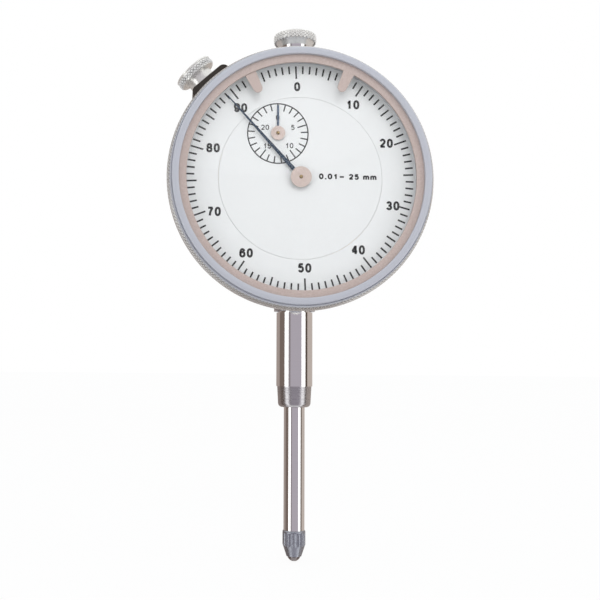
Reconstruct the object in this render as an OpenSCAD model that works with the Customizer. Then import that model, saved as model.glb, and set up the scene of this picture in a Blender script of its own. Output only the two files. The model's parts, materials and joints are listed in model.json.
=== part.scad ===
// Plunger dial indicator: 0.01 mm dial, turn counter, 8 mm stem.
// Millimetres. The origin is on the plunger's axis, half way along the bare stem; the dial faces -Y.

/* [Case] */
// Outside diameter of the case
case_d = 52.8; // [50:0.2:56]
// Radial thickness of the case wall
case_wall = 2.4; // [2.2:0.1:2.8]
// Distance from the plunger's axis to the back edge of the case
case_back = 6; // [5.6:0.1:8]
// Radial step from the case out to the spigot that carries the bezel
spigot_rise = 0.75; // [0.5:0.05:1]
// Land between the stem and the foot of the spigot
shoulder_land = 0.6; // [0.4:0.1:1]
// Height of the boss under the case that takes the stem
stem_boss_h = 1.9; // [1:0.1:3]
// Thickness of the back cover
cover_t = 1.5; // [1.2:0.1:2.5]
// Thickness of the gasket under the back cover
gasket_t = 0.3; // [0.2:0.05:0.5]
// Hole in the lug behind the back cover
lug_hole_d = 6.5; // [5:0.1:7]
// Thickness of the lug
lug_t = 5; // [4:0.1:6]
// Metal around the lug's hole
lug_rim = 3.6; // [2.5:0.1:5]
// Distance from the back cover to the lug's hole
lug_reach = 7.6; // [7.3:0.1:10]

/* [Stem and plunger] */
// Diameter of the stem
stem_d = 8; // [7.6:0.1:8.6]
// Bare length of the stem below its boss
stem_len = 16.6; // [12:0.2:25]
// Bore of the stem
stem_bore_d = 6; // [5.6:0.1:6.4]
// Length of the stem inside the case
stem_inside = 0.8; // [0.5:0.1:1]
// Largest diameter of the bush at the stem's end
nose_d = 7.6; // [7:0.1:8]
// Length of the bush below the stem
nose_len = 4.6; // [3:0.1:6]
// Length of the bush inside the stem
nose_shank = 7; // [4:0.5:9]
// Length of the bush inside the stem's upper end
stem_top_bush_len = 6; // [3:0.5:7]
// Diameter of the spindle
spindle_d = 4.6; // [4.4:0.1:4.8]
// Travel of the plunger
travel = 25; // [20:0.5:25]
// Room left under the stem bush at full travel
contact_room = 1.75; // [1:0.05:4]
// Diameter of the contact point
contact_d = 5; // [4.6:0.1:6]
// Length of the contact point's cylinder
contact_len = 3.05; // [2.5:0.05:5]
// Length of the contact point's cone
contact_cone = 2.55; // [2.3:0.05:3.5]
// Diameter of the contact point's small end
contact_tip_d = 3.3; // [3.2:0.05:3.6]
// Diameter of the ball in the contact point
ball_d = 3; // [2.6:0.1:3]
// How far the ball stands out of the contact point
ball_out = 1.15; // [0.9:0.05:1.3]
// Diameter of the threads of the contact point and the lifting knob
thread_d = 2.5; // [2:0.1:2.8]
// Number of flutes around the contact point
flute_count = 24; // [12:1:32]
// Diameter of the upper bush
upper_bush_d = 6.9; // [6.4:0.1:7.4]
// Height of the upper bush above the case
upper_bush_rise = 5.7; // [3:0.1:8]
// Diameter of the lifting knob
knob_d = 9.7; // [8.5:0.1:12]
// Height of the lifting knob
knob_h = 3.5; // [3.2:0.1:5]
// Height of the bevel under the lifting knob
knob_bevel = 1.55; // [1:0.05:1.8]
// Height of the domed top of the lifting knob
knob_dome = 0.6; // [0.3:0.05:0.8]

/* [Bezel and dial] */
// Wall of the bezel's skirt
skirt_wall = 0.9; // [0.8:0.05:1.2]
// Rise of the knurled rim over the bezel's skirt
rim_rise = 0.6; // [0.4:0.05:1]
// Length of the knurled rim at its full diameter
rim_len = 2.95; // [2:0.05:4]
// Length of the bezel's skirt behind the knurled rim
skirt_len = 2.4; // [2:0.1:3.5]
// Radial width from the knurled rim in to the lip's outer edge
lip_bevel = 1.05; // [0.8:0.05:1.3]
// Height of the lip's outer edge
lip_rise = 0.9; // [0.6:0.05:1.2]
// How far the lip covers the limit markers
lip_cover = 1; // [0.8:0.05:1.2]
// Thickness of the lip
lip_t = 0.8; // [0.7:0.05:1.5]
// Thickness of the crystal
crystal_t = 1; // [0.8:0.05:2]
// Thickness of the gasket under the crystal
crystal_gasket_t = 0.2; // [0.15:0.05:0.6]
// Thickness of each limit marker
marker_t = 0.25; // [0.2:0.05:0.5]
// Width of a limit marker's ring
marker_band = 2.55; // [2.2:0.05:2.8]
// Length of a limit marker's finger
finger_len = 4.55; // [3:0.05:6]
// Width of a finger at its ring
finger_base_w = 2.7; // [2.2:0.1:4]
// Width of a finger at its round end
finger_tip_w = 1.95; // [1.2:0.05:2.2]
// Angle of the left finger from the top
left_finger_angle = 27; // [10:1:80]
// Angle of the right finger from the top
right_finger_angle = 24; // [10:1:80]
// Height of the spacer ring between the scale ring and the crystal
spacer_h = 1.3; // [1.2:0.05:3]
// Width of the spacer ring
spacer_band = 2; // [1.2:0.05:2.2]
// Thickness of the dial's plates
dial_t = 0.5; // [0.3:0.05:0.8]
// Diameter of the fixed centre dial
centre_dial_d = 35.4; // [34.6:0.1:38]
// Diameter of the wire ring that holds the bezel
snap_wire_d = 0.9; // [0.7:0.05:1]

/* [Pointers] */
// Length of the main pointer
pointer_len = 23.6; // [18:0.1:24.4]
// Width of the main pointer at its hub
pointer_w = 0.95; // [0.8:0.05:1.6]
// Width of the main pointer at its tip
pointer_tip_w = 0.22; // [0.15:0.01:0.4]
// Angle of the main pointer at rest, from the top
pointer_angle = 42.2; // [0:0.1:90]
// Diameter of the main pointer's hub
hub_d = 4.5; // [3:0.1:6]
// Length of the counter pointer
counter_pointer_len = 6.1; // [4:0.1:7]
// Width of the counter pointer
counter_pointer_w = 0.42; // [0.3:0.02:0.8]
// Diameter of the counter pointer's hub
counter_hub_d = 3.06; // [2.4:0.02:4]
// Thickness of a pointer
pointer_t = 0.15; // [0.1:0.01:0.25]
// Thickness of the main pointer's hub
hub_t = 0.3; // [0.2:0.05:0.5]
// Thickness of the counter pointer's hub
counter_hub_t = 0.25; // [0.15:0.05:0.3]

/* [Movement] */
// Thickness of the mid plate
mid_plate_t = 1; // [0.8:0.05:1.2]
// Thickness of the front plate
front_plate_t = 1; // [0.9:0.05:1.5]
// Room for the gears between the two plates
gear_room = 3.9; // [3.9:0.05:4.6]
// Radial room between the mid plate and the case
mid_plate_room = 1.2; // [1:0.05:1.6]
// Radius of the front plate
front_plate_r = 17.2; // [16.8:0.1:17.4]
// Radius of the rack arbor
rack_arbor_r = 0.6; // [0.5:0.02:0.65]
// Radius of the other arbors
arbor_r = 0.35; // [0.3:0.01:0.4]
// Thickness of the toothed wheels
wheel_t = 0.4; // [0.3:0.02:0.45]
// Wall of the bearing bushes
bush_wall = 0.6; // [0.4:0.05:0.7]
// Diameter of the pillars between the plates
pillar_d = 3; // [2.6:0.1:3.6]

/* [Gear train] */
// Pitch of the rack on the spindle
rack_pitch = 0.625; // [0.6:0.005:0.65]
// Teeth of the rack pinion
rack_pinion_teeth = 16; // [15:1:18]
// Teeth of the main wheel and of the take-up wheel
wheel_teeth = 120; // [100:1:120]
// Teeth of the centre pinion and of the counter pinion
pinion_teeth = 12; // [12:1:14]
// Teeth of the counter wheel
counter_teeth = 30; // [28:1:36]
// Height of the rack arbor above the dial's centre
rack_arbor_up = 6.5; // [6.2:0.05:6.8]
// Distance of the counter's arbor to the left of the dial's centre
counter_left = 4.93; // [4.6:0.01:5.2]
// Height of the counter's arbor above the dial's centre
counter_up = 9.63; // [9.4:0.01:10]
// Direction of the take-up arbor, seen from the dial's centre
takeup_angle = -45; // [-60:1:-40]
// Pressure angle of the teeth
pressure_angle = 25; // [24:0.5:27]

/* [Return spring] */
// Depth of the guide pin below the dial's centre
pin_down = 9; // [8:0.1:10]
// Diameter of the guide pin
pin_d = 1.4; // [1.2:0.05:1.6]
// Distance of the spring's post in from the mid plate's edge
post_inset = 1.26; // [1.1:0.02:1.6]
// Distance of the spring from the plunger's axis
spring_x = 8.2; // [8:0.1:9]
// Diameter of the spring's wire
spring_wire_d = 0.32; // [0.25:0.01:0.36]
// Mean diameter of the spring's coils
spring_coil_d = 2.2; // [1.8:0.05:2.3]
// Number of coils
spring_turns = 8; // [6:1:9]

/* [Bezel clamp] */
// Angle of the clamp from the top, to the left
clamp_angle = 41.5; // [30:0.5:60]
// Gap under the saddle block when the clamp is loose
clamp_gap = 0.3; // [0.26:0.02:0.5]
// Width of the saddle block along the rim
clamp_block_w = 10; // [8:0.1:13]
// Height of the saddle block over the case
clamp_block_h = 4.2; // [3.4:0.1:6]
// Rounding of the saddle block's shoulders
clamp_round = 1.4; // [0.8:0.1:2]
// Diameter of the clamp screw's head
clamp_head_d = 9.4; // [8:0.1:11]
// Thickness of the clamp screw's head
clamp_head_t = 2.2; // [1.8:0.1:4]
// Diameter of the clamp screw's neck
clamp_neck_d = 6.2; // [5:0.1:7]
// Length of the clamp screw's neck
clamp_neck_len = 2.7; // [1:0.05:4]
// Diameter of the clamp screw's thread
clamp_thread_d = 3; // [2.5:0.1:3.4]

/* [Fits] */
// Radial gap of pressed and seated pieces
press_gap = 0.01; // [0.01:0.005:0.03]
// Radial gap of running fits
run_gap = 0.03; // [0.02:0.005:0.05]
// Gap between stacked rings that turn on each other
ring_gap = 0.05; // [0.03:0.01:0.1]
// Play of a gear tooth in its mesh
tooth_play = 0.03; // [0.02:0.005:0.04]

/* [Hidden] */
$fn = 96;
cut = 1;

// Radii around the dial's axis
case_r = case_d / 2;
case_bore_r = case_r - case_wall;
spigot_r = case_r + spigot_rise;
bezel_bore_r = spigot_r + ring_gap;
skirt_r = bezel_bore_r + skirt_wall;
rim_r = skirt_r + rim_rise;
lip_r = rim_r - lip_bevel;
window_r = bezel_bore_r - lip_cover;
inset_r = bezel_bore_r - ring_gap;
marker_r = inset_r - marker_band;
scale_bore_r = centre_dial_d / 2 + ring_gap;
mid_plate_r = case_bore_r - mid_plate_room;

// Heights along the plunger's axis
dial_z = stem_len / 2 + stem_boss_h + case_r;
stem_end_z = -stem_len / 2;
stem_relief_len = 0.3;
stem_relief = 0.4;
stem_seat_r = stem_d / 2 - stem_relief;
stem_boss_r = stem_d / 2 + shoulder_land - ring_gap;
stem_top_z = dial_z - case_bore_r + stem_inside;
nose_end_z = stem_end_z - nose_len;
contact_top_z = nose_end_z - travel - contact_room;
contact_end_z = contact_top_z - contact_len - contact_cone;
knob_seat_z = dial_z + case_r + upper_bush_rise;
pin_z = dial_z - pin_down;

// Depths in front of the plunger's axis
spindle_r = spindle_d / 2;
spindle_room = 0.6;
spigot_room = 0.5;
snap_inset = 0.1;
mid_back = spindle_r + spindle_room;
mid_front = mid_back + mid_plate_t;
front_back = mid_front + gear_room;
dial_back = front_back + front_plate_t;
dial_face = dial_back + dial_t;
spacer_front = dial_face + spacer_h;
crystal_back = spacer_front + crystal_gasket_t;
left_marker_back = crystal_back + crystal_t + ring_gap;
right_marker_back = left_marker_back + marker_t + ring_gap;
lip_back = right_marker_back + marker_t + ring_gap;
lip_front = lip_back + lip_t;
lip_foot = lip_front - lip_rise;
spigot_front = dial_back - spigot_room;
shoulder = stem_d / 2 + shoulder_land;
skirt_back = shoulder + ring_gap;
rim_back = skirt_back + skirt_len;
rim_front = rim_back + rim_len;
snap_depth = (skirt_back + rim_back) / 2;
snap_ring_r = bezel_bore_r - snap_inset;
cover_front = -case_back - gasket_t;
cover_back = cover_front - cover_t;

// Planes of the gears between the plates, and the arbors' play along them
plane_gap = 0.2;
hub_extra = 0.15;
bush_extra = 0.7;
end_play = 0.1;
arbor_room = 0.3;
hairspring_w = 0.4;
hairspring_f = mid_front + plane_gap;
takeup_f = hairspring_f + hairspring_w + plane_gap;
main_f = takeup_f + wheel_t + 2 * plane_gap;
counter_f = main_f + wheel_t + 2 * plane_gap + hub_extra;
main_wheel_hub_r = 1.4;
takeup_hub_r = 1.1;
counter_wheel_hub_r = 0.9;
cock_bush_thin = 0.2;
cock_bush_wall = bush_wall - cock_bush_thin;

// Planes of the pointers
pointer_gap = 0.15;
eye_inset = 0.45;
hub_proud = 0.05;
counter_pointer_f = dial_face + pointer_gap;
counter_hub_f = counter_pointer_f + pointer_t;
main_pointer_f = counter_hub_f + counter_hub_t + pointer_gap + hub_proud;
main_hub_f = main_pointer_f + pointer_t;

// Gear geometry
addendum = 0.9;
dedendum = 1.2;
flank_steps = 2;
rack_module = rack_pitch / PI;
rack_pinion_r = rack_pinion_teeth * rack_module / 2;
rack_land = 0.1;
rack_line = spindle_r - rack_land - addendum * rack_module;
rack_end = 2.5;
centre_at = [0, 0];
rack_at = [-rack_line - rack_pinion_r, rack_arbor_up];
counter_at = [-counter_left, counter_up];
main_module = 2 * norm(rack_at - centre_at) / (wheel_teeth + pinion_teeth);
takeup_at = norm(rack_at) * [cos(takeup_angle), sin(takeup_angle)];
counter_module = 2 * norm(counter_at - rack_at) / (pinion_teeth + counter_teeth);
main_wheel_phase = 0;
centre_phase = mesh_phase(rack_at, centre_at, wheel_teeth, pinion_teeth, main_wheel_phase);
takeup_phase = mesh_phase(centre_at, takeup_at, pinion_teeth, wheel_teeth, centre_phase);
counter_phase = mesh_phase(rack_at, counter_at, pinion_teeth, counter_teeth, 0);
rack_z = dial_z + rack_arbor_up;

// Places of screws, pillars and bosses around the dial's axis
boss_angles = [45, 150, 215, 315];
plate_screw_depth = 2.5;
boss_r = 2.4;
boss_tail = 1.5;
boss_inset = 1.6;
boss_back = mid_back - plate_screw_depth - boss_tail;
boss_at_r = mid_plate_r - boss_inset;
pillar_angles = [62, 200, 345];
pillar_inset = 2.2;
pillar_at_r = front_plate_r - pillar_inset;
cover_screw_angles = [45, 135, 225, 315];
cover_screw_r = (case_r + case_bore_r) / 2;
plate_screw_shank_r = 0.7;
small_screw_r = 0.6;
cover_screw_head_r = 1.15;
plate_screw_head_r = 1.3;
small_screw_head_r = 1.1;
cover_screw_depth = 3.2;
gasket_edge = 0.1;
screw_end_room = 0.2;
screw_head_t = 0.7;
screw_slot = 0.3;
countersink_h = 0.6;
countersink_r = 1.2;

// Guide rail, its feet and the rack cock, all behind the mid plate
rail_gap = 0.8;
rail_x = spindle_r + rail_gap;
rail_w = 1.6;
rail_back = 2;
rail_over = 3.5;
rail_foot_w = 2.6;
rail_foot_h = 2.6;
rail_foot_t = 1.2;
rail_screw_x = rail_x + rail_w + rail_foot_w / 2;
rail_slot_room = 0.3;
rail_slot_end = pin_d / 2 + rail_slot_room;
pin_start_x = -1.2;
pin_past = 1.1;
pin_end_x = spring_x + pin_past;
post_r = 0.8;
post_at = [spring_x, -sqrt(pow(mid_plate_r - post_inset, 2) - spring_x * spring_x)];
post_behind = 1;
cock_t = 1;
cock_w = 6;
cock_reach = 8.4;
cock_left = rack_at[0] - cock_reach;
cock_block_w = 4;
cock_end_wall = 0.3;
cock_right = rack_at[0] + rack_arbor_r + bush_wall + cock_end_wall;
cock_screw_up = 1.6;
rack_pinion_half = 1.1;

// Clamp, and the threads of the knob and of the contact point
clamp_rim_room = 0.4;
clamp_back_inset = 2;
clamp_thread_in = 2;
contact_thread_len = 4.5;
knob_roof = 1.2;
knob_thread_len = knob_h - knob_roof;

// Hairspring
collet_r = 0.9;
hairspring_turns = 5;
hairspring_t = 0.12;
hairspring_r = 5;
stud_r = 0.5;

function unit(v) = v / norm(v);
function polar(r, a) = [r * cos(a), r * sin(a)];
function involute(a) = tan(a) * 180 / PI - a;

// Turn of the second of two gears that puts its gap on the first one's tooth
function mesh_phase(at1, at2, z1, z2, phase1) =
  let (d = at2 - at1, line = atan2(d[1], d[0]))
  line + 180 - (phase1 - line) * z1 / z2 + 180 / z2;

// Outline of a gear with involute teeth, one tooth on the x axis
function gear_points(z, m) =
  let (
    pitch_r = z * m / 2,
    base_r = pitch_r * cos(pressure_angle),
    tip_r = pitch_r + addendum * m,
    root_r = pitch_r - dedendum * m,
    start_r = max(base_r, root_r),
    half_base = 90 / z - tooth_play / 4 / pitch_r * 180 / PI + involute(pressure_angle),
    radii = [for (k = [0:flank_steps]) start_r + (tip_r - start_r) * k / flank_steps],
    halves = [for (r = radii) half_base - involute(acos(min(1, base_r / r)))],
    foot = root_r < base_r ? [root_r] : [])
  [for (i = [0:z - 1]) let (c = i * 360 / z) each concat(
    [for (r = foot) polar(r, c - halves[0])],
    [for (k = [0:flank_steps]) polar(radii[k], c - halves[k])],
    [for (k = [flank_steps:-1:0]) polar(radii[k], c + halves[k])],
    [for (r = foot) polar(r, c + halves[0])])];

// Outline that is cut from the spindle's side, in x and z, and leaves the rack's teeth standing
function rack_cut_points() =
  let (
    low = rack_z - travel - rack_end,
    count = ceil((travel + 2 * rack_end) / rack_pitch),
    first = rack_z - rack_pitch * ceil((travel + rack_end) / rack_pitch),
    tip_x = -rack_line - addendum * rack_module,
    root_x = -rack_line + dedendum * rack_module,
    half_gap = rack_pitch / 4 + tooth_play / 4,
    tip_half = half_gap + addendum * rack_module * tan(pressure_angle),
    root_half = half_gap - dedendum * rack_module * tan(pressure_angle),
    last = first + count * rack_pitch)
  concat(
    [[-spindle_r - cut, first - rack_pitch / 2], [tip_x, first - rack_pitch / 2]],
    [for (i = [0:count]) let (z = first + i * rack_pitch) each [
      [tip_x, z - tip_half], [root_x, z - root_half], [root_x, z + root_half], [tip_x, z + tip_half]]],
    [[tip_x, last + rack_pitch / 2], [-spindle_r - cut, last + rack_pitch / 2]]);

// A solid tube along a path, with its sides carried along without twist
module tube(path, r, sides) {
  n = len(path);
  along = [for (i = [0:n - 1]) unit(path[min(i + 1, n - 1)] - path[max(i - 1, 0)])];
  start = unit(cross(along[0], abs(along[0][2]) < 0.9 ? [0, 0, 1] : [1, 0, 0]));
  out = [for (i = 0, u = start; i < n;
    i = i + 1, u = i < n ? unit(u - (u * along[i]) * along[i]) : u) u];
  points = [for (i = [0:n - 1], s = [0:sides - 1])
    path[i] + r * (cos(360 * s / sides) * out[i] + sin(360 * s / sides) * cross(along[i], out[i]))];
  walls = [for (i = [0:n - 2], s = [0:sides - 1])
    let (a = i * sides + s, b = i * sides + (s + 1) % sides)
    each [[a, b + sides, b], [a, a + sides, b + sides]]];
  first_cap = [for (s = [1:sides - 2]) [0, s, s + 1]];
  last = (n - 1) * sides;
  last_cap = [for (s = [1:sides - 2]) [last, last + s + 1, last + s]];
  polyhedron(points, concat(walls, first_cap, last_cap), convexity = 10);
}

// Puts a shape drawn with x right, y up and z forward onto the dial's axis
module on_dial() {
  translate([0, 0, dial_z]) rotate([90, 0, 0]) children();
}

// Puts a shape drawn with z outward onto the clamp's axis, x along the rim and y to the back
module on_clamp() {
  translate([0, 0, dial_z]) rotate([0, -clamp_angle, 0]) children();
}

module around(angles, r) {
  for (a = angles) rotate(a) translate([r, 0, 0]) rotate(-a) children();
}

module ring(outer, inner, h) {
  difference() {
    cylinder(r = outer, h = h);
    translate([0, 0, -cut]) cylinder(r = inner, h = h + 2 * cut);
  }
}

// Cheese-head screw, head on z = 0 and shank downward
module slotted_screw(head_r, shank_r, length) {
  difference() {
    union() {
      cylinder(r = head_r, h = screw_head_t);
      translate([0, 0, -length]) cylinder(r = shank_r, h = length + screw_head_t / 2);
    }
    translate([-head_r - cut, -screw_slot / 2, screw_head_t / 2])
      cube([2 * (head_r + cut), screw_slot, screw_head_t]);
  }
}

// Toothed wheel with a hub and four spokes, standing on z = 0
module wheel(teeth, m, bore_r, hub_r, phase) {
  root_r = teeth * m / 2 - dedendum * m;
  rim_w = 0.7;
  rim_in = root_r - rim_w;
  spoke_w = 0.9;
  rotate(phase) difference() {
    union() {
      linear_extrude(wheel_t) difference() {
        polygon(gear_points(teeth, m));
        difference() {
          circle(rim_in);
          circle(hub_r);
          for (a = [0, 90]) rotate(a) square([4 * root_r, spoke_w], center = true);
        }
      }
      cylinder(r = hub_r, h = wheel_t + hub_extra);
    }
    translate([0, 0, -cut]) cylinder(r = bore_r, h = wheel_t + 3 * cut);
  }
}

module pinion(teeth, m, bore_r, h, phase) {
  rotate(phase) difference() {
    linear_extrude(h) polygon(gear_points(teeth, m));
    translate([0, 0, -cut]) cylinder(r = bore_r, h = h + 2 * cut);
  }
}

module bush(bore_r, h) {
  ring(bore_r + bush_wall, bore_r, h);
}

module case() color("gainsboro") difference() {
  union() {
    on_dial() rotate_extrude() polygon([
      [case_bore_r, -case_back], [case_r, -case_back], [case_r, shoulder], [spigot_r, shoulder],
      [spigot_r, spigot_front], [case_bore_r, spigot_front]]);
    translate([0, 0, stem_len / 2]) cylinder(r = stem_boss_r, h = stem_boss_h + case_wall / 2);
    on_dial() for (a = boss_angles) rotate(a) {
      translate([boss_at_r, 0, boss_back]) cylinder(r = boss_r, h = mid_back - boss_back);
      translate([boss_at_r, -boss_r, boss_back])
        cube([case_bore_r + case_wall / 4 - boss_at_r, 2 * boss_r, mid_back - boss_back]);
    }
  }
  translate([0, 0, stem_end_z]) cylinder(r = stem_seat_r + press_gap, h = stem_top_z - stem_end_z + cut);
  translate([0, 0, dial_z]) cylinder(d = upper_bush_d + 2 * press_gap, h = case_r + cut);
  on_clamp() translate([0, 0, case_bore_r - cut])
    cylinder(d = clamp_thread_d + 2 * ring_gap, h = case_wall + 2 * cut);
  on_dial() translate([0, 0, snap_depth]) rotate_extrude()
    translate([snap_ring_r, 0]) circle(d = snap_wire_d + 2 * press_gap);
  on_dial() around(cover_screw_angles, cover_screw_r) translate([0, 0, -case_back - cut])
    cylinder(r = plate_screw_shank_r + press_gap, h = cover_screw_depth + screw_end_room + cut);
  on_dial() around(boss_angles, boss_at_r) translate([0, 0, mid_back - plate_screw_depth - screw_end_room])
    cylinder(r = plate_screw_shank_r + press_gap, h = plate_screw_depth + screw_end_room + cut);
}

module back_cover() color("gainsboro") difference() {
  lug_r = lug_hole_d / 2 + lug_rim;
  union() {
    on_dial() translate([0, 0, cover_back]) cylinder(r = case_r, h = cover_t);
    translate([-lug_t / 2, 0, dial_z]) {
      translate([0, -cover_back + lug_reach, 0]) rotate([0, 90, 0]) cylinder(r = lug_r, h = lug_t);
      translate([0, -cover_front - cover_t / 2, -lug_r])
        cube([lug_t, lug_reach + cover_t / 2, 2 * lug_r]);
    }
  }
  translate([-lug_t / 2 - cut, -cover_back + lug_reach, dial_z]) rotate([0, 90, 0])
    cylinder(d = lug_hole_d, h = lug_t + 2 * cut);
  on_dial() around(cover_screw_angles, cover_screw_r) translate([0, 0, cover_back - cut])
    cylinder(r = plate_screw_shank_r + ring_gap, h = cover_t + 2 * cut);
}

module back_gasket() color("dimgray") difference() {
  on_dial() translate([0, 0, cover_front]) ring(case_r - gasket_edge, case_bore_r + gasket_edge, gasket_t);
  on_dial() around(cover_screw_angles, cover_screw_r) translate([0, 0, cover_front - cut])
    cylinder(r = plate_screw_shank_r + ring_gap, h = gasket_t + 2 * cut);
}

module back_cover_screws() color("silver")
  on_dial() around(cover_screw_angles, cover_screw_r) translate([0, 0, cover_back]) mirror([0, 0, 1])
    slotted_screw(cover_screw_head_r, plate_screw_shank_r, cover_t + gasket_t + cover_screw_depth);

module stem() color("silver") translate([0, 0, stem_end_z]) difference() {
  union() {
    cylinder(d = stem_d, h = stem_len - stem_relief_len);
    cylinder(r = stem_seat_r, h = stem_top_z - stem_end_z);
  }
  translate([0, 0, -cut]) cylinder(d = stem_bore_d, h = stem_top_z - stem_end_z + 2 * cut);
}

module stem_bush() color("gray") {
  round_r = 0.9;
  taper = 0.2;
  tip_r = nose_d / 2 - taper;
  shank_r = stem_bore_d / 2 - press_gap;
  bore_r = spindle_r + run_gap;
  rotate_extrude() polygon(concat(
    [[bore_r, stem_end_z + nose_shank], [bore_r, nose_end_z]],
    [for (a = [-90:15:0]) [tip_r - round_r + round_r * cos(a), nose_end_z + round_r + round_r * sin(a)]],
    [[nose_d / 2, stem_end_z], [shank_r, stem_end_z], [shank_r, stem_end_z + nose_shank]]));
}

module stem_top_bush() color("darkgoldenrod") translate([0, 0, stem_top_z - stem_top_bush_len])
  ring(stem_bore_d / 2 - press_gap, spindle_r + run_gap, stem_top_bush_len);

module upper_bush() color("silver") translate([0, 0, dial_z + case_bore_r - stem_inside])
  ring(upper_bush_d / 2, spindle_r + run_gap, knob_seat_z - dial_z - case_bore_r + stem_inside);

module bezel_snap_ring() color("darkgray") on_dial() translate([0, 0, snap_depth])
  rotate(-100) rotate_extrude(angle = 340) translate([snap_ring_r, 0]) circle(d = snap_wire_d);

module mid_plate() color("goldenrod") on_dial() translate([0, 0, mid_back]) difference() {
  cylinder(r = mid_plate_r, h = mid_plate_t);
  translate([0, 0, -cut]) {
    h = mid_plate_t + 2 * cut;
    for (at = [centre_at, takeup_at]) translate(at)
      cylinder(r = arbor_r + run_gap + bush_wall + press_gap, h = h);
    translate(rack_at) cylinder(r = rack_arbor_r + arbor_room, h = h);
    around(boss_angles, boss_at_r) cylinder(r = plate_screw_shank_r + ring_gap, h = h);
    around(pillar_angles, pillar_at_r) cylinder(r = small_screw_r + ring_gap, h = h);
    for (at = rail_screws()) translate(at) cylinder(r = small_screw_r + press_gap, h = h);
    for (at = cock_screws()) translate(at) cylinder(r = small_screw_r + press_gap, h = h);
    translate(stud_at()) cylinder(r = stud_r + press_gap, h = h);
    translate(post_at) cylinder(r = post_r + press_gap, h = h);
  }
}

function rail_screws() = [
  [rail_screw_x, -pin_down - rail_over + rail_foot_h / 2],
  [rail_screw_x, -pin_down + travel + rail_over - rail_foot_h / 2]];
function cock_screws() = [for (s = [-1, 1]) [cock_left + cock_block_w / 2, rack_at[1] + s * cock_screw_up]];
function stud_at() = takeup_at + polar(hairspring_r + hairspring_t / 2 + stud_r + press_gap, takeup_angle);

module plate_screws() color("silver") on_dial() around(boss_angles, boss_at_r)
  translate([0, 0, mid_front])
    slotted_screw(plate_screw_head_r, plate_screw_shank_r, mid_plate_t + plate_screw_depth);

module plate_pillars() color("darkgray") on_dial() around(pillar_angles, pillar_at_r)
  translate([0, 0, mid_front]) ring(pillar_d / 2, small_screw_r + press_gap, gear_room);

module pillar_screws() color("silver") on_dial() around(pillar_angles, pillar_at_r) {
  depth = gear_room / 2 - screw_end_room;
  translate([0, 0, mid_back]) mirror([0, 0, 1])
    slotted_screw(small_screw_head_r, small_screw_r, mid_plate_t + depth);
  translate([0, 0, front_back - depth]) cylinder(r = small_screw_r, h = depth + front_plate_t / 2);
  translate([0, 0, dial_back - countersink_h])
    cylinder(r1 = small_screw_r, r2 = countersink_r, h = countersink_h);
}

module front_plate() color("goldenrod") on_dial() translate([0, 0, front_back]) difference() {
  cylinder(r = front_plate_r, h = front_plate_t);
  translate([0, 0, -cut]) {
    h = front_plate_t + 2 * cut;
    for (at = [centre_at, takeup_at]) translate(at)
      cylinder(r = arbor_r + run_gap + bush_wall + press_gap, h = h);
    translate(counter_at) cylinder(r = arbor_r + run_gap + bush_wall + press_gap, h = h);
    translate(rack_at) cylinder(r = rack_arbor_r + run_gap + bush_wall + press_gap, h = h);
    around(pillar_angles, pillar_at_r) cylinder(r = small_screw_r + press_gap, h = h);
  }
  around(pillar_angles, pillar_at_r) translate([0, 0, front_plate_t - countersink_h])
    cylinder(r1 = small_screw_r + press_gap, r2 = countersink_r + press_gap, h = countersink_h);
}

module front_plate_bushes() color("peru") on_dial() translate([0, 0, front_back]) {
  for (at = [centre_at, takeup_at]) translate(at) bush(arbor_r + run_gap, front_plate_t);
  translate(rack_at) bush(rack_arbor_r + run_gap, front_plate_t);
}

module mid_plate_bushes() color("peru") on_dial() for (at = [centre_at, takeup_at])
  translate([at[0], at[1], mid_back]) bush(arbor_r + run_gap, mid_plate_t);

module counter_bush() color("peru") on_dial()
  translate([counter_at[0], counter_at[1], front_back - bush_extra])
    bush(arbor_r + run_gap, front_plate_t + bush_extra);

module rack_cock() color("goldenrod") on_dial() difference() {
  union() {
    translate([cock_left, rack_at[1] - cock_w / 2, -mid_back])
      cube([cock_block_w, cock_w, 2 * mid_back]);
    translate([cock_left, rack_at[1] - cock_w / 2, -mid_back - cock_t])
      cube([cock_right - cock_left, cock_w, cock_t]);
  }
  translate([rack_at[0], rack_at[1], -mid_back - cock_t - cut])
    cylinder(r = rack_arbor_r + run_gap + cock_bush_wall + press_gap, h = cock_t + 2 * cut);
  for (at = cock_screws()) translate([at[0], at[1], -mid_back - cock_t - cut])
    cylinder(r = small_screw_r + press_gap, h = 2 * mid_back + cock_t + 2 * cut);
}

module rack_cock_bush() color("peru") on_dial() translate([rack_at[0], rack_at[1], -mid_back - cock_t])
  ring(rack_arbor_r + run_gap + cock_bush_wall, rack_arbor_r + run_gap, cock_t);

module rack_cock_screws() color("silver") on_dial() for (at = cock_screws())
  translate([at[0], at[1], -mid_back - cock_t]) mirror([0, 0, 1])
    slotted_screw(small_screw_head_r, small_screw_r, 2 * mid_back + cock_t + mid_plate_t);

module guide_rail() color("darkgray") difference() {
  low = pin_z - rail_over;
  high = pin_z + travel + rail_over;
  union() {
    translate([rail_x, -mid_back, low]) cube([rail_w, mid_back + rail_back, high - low]);
    for (z = [low, high - rail_foot_h]) translate([rail_x, -mid_back, z])
      cube([rail_w + rail_foot_w, rail_foot_t, rail_foot_h]);
  }
  translate([rail_x - cut, -pin_d / 2 - run_gap, pin_z - rail_slot_end])
    cube([rail_w + 2 * cut, pin_d + 2 * run_gap, travel + 2 * rail_slot_end]);
  on_dial() for (at = rail_screws()) translate([at[0], at[1], -cut])
    cylinder(r = small_screw_r + press_gap, h = mid_back + 2 * cut);
}

module guide_rail_screws() color("silver") on_dial() for (at = rail_screws())
  translate([at[0], at[1], mid_back - rail_foot_t]) mirror([0, 0, 1])
    slotted_screw(small_screw_head_r, small_screw_r, rail_foot_t + mid_plate_t);

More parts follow.
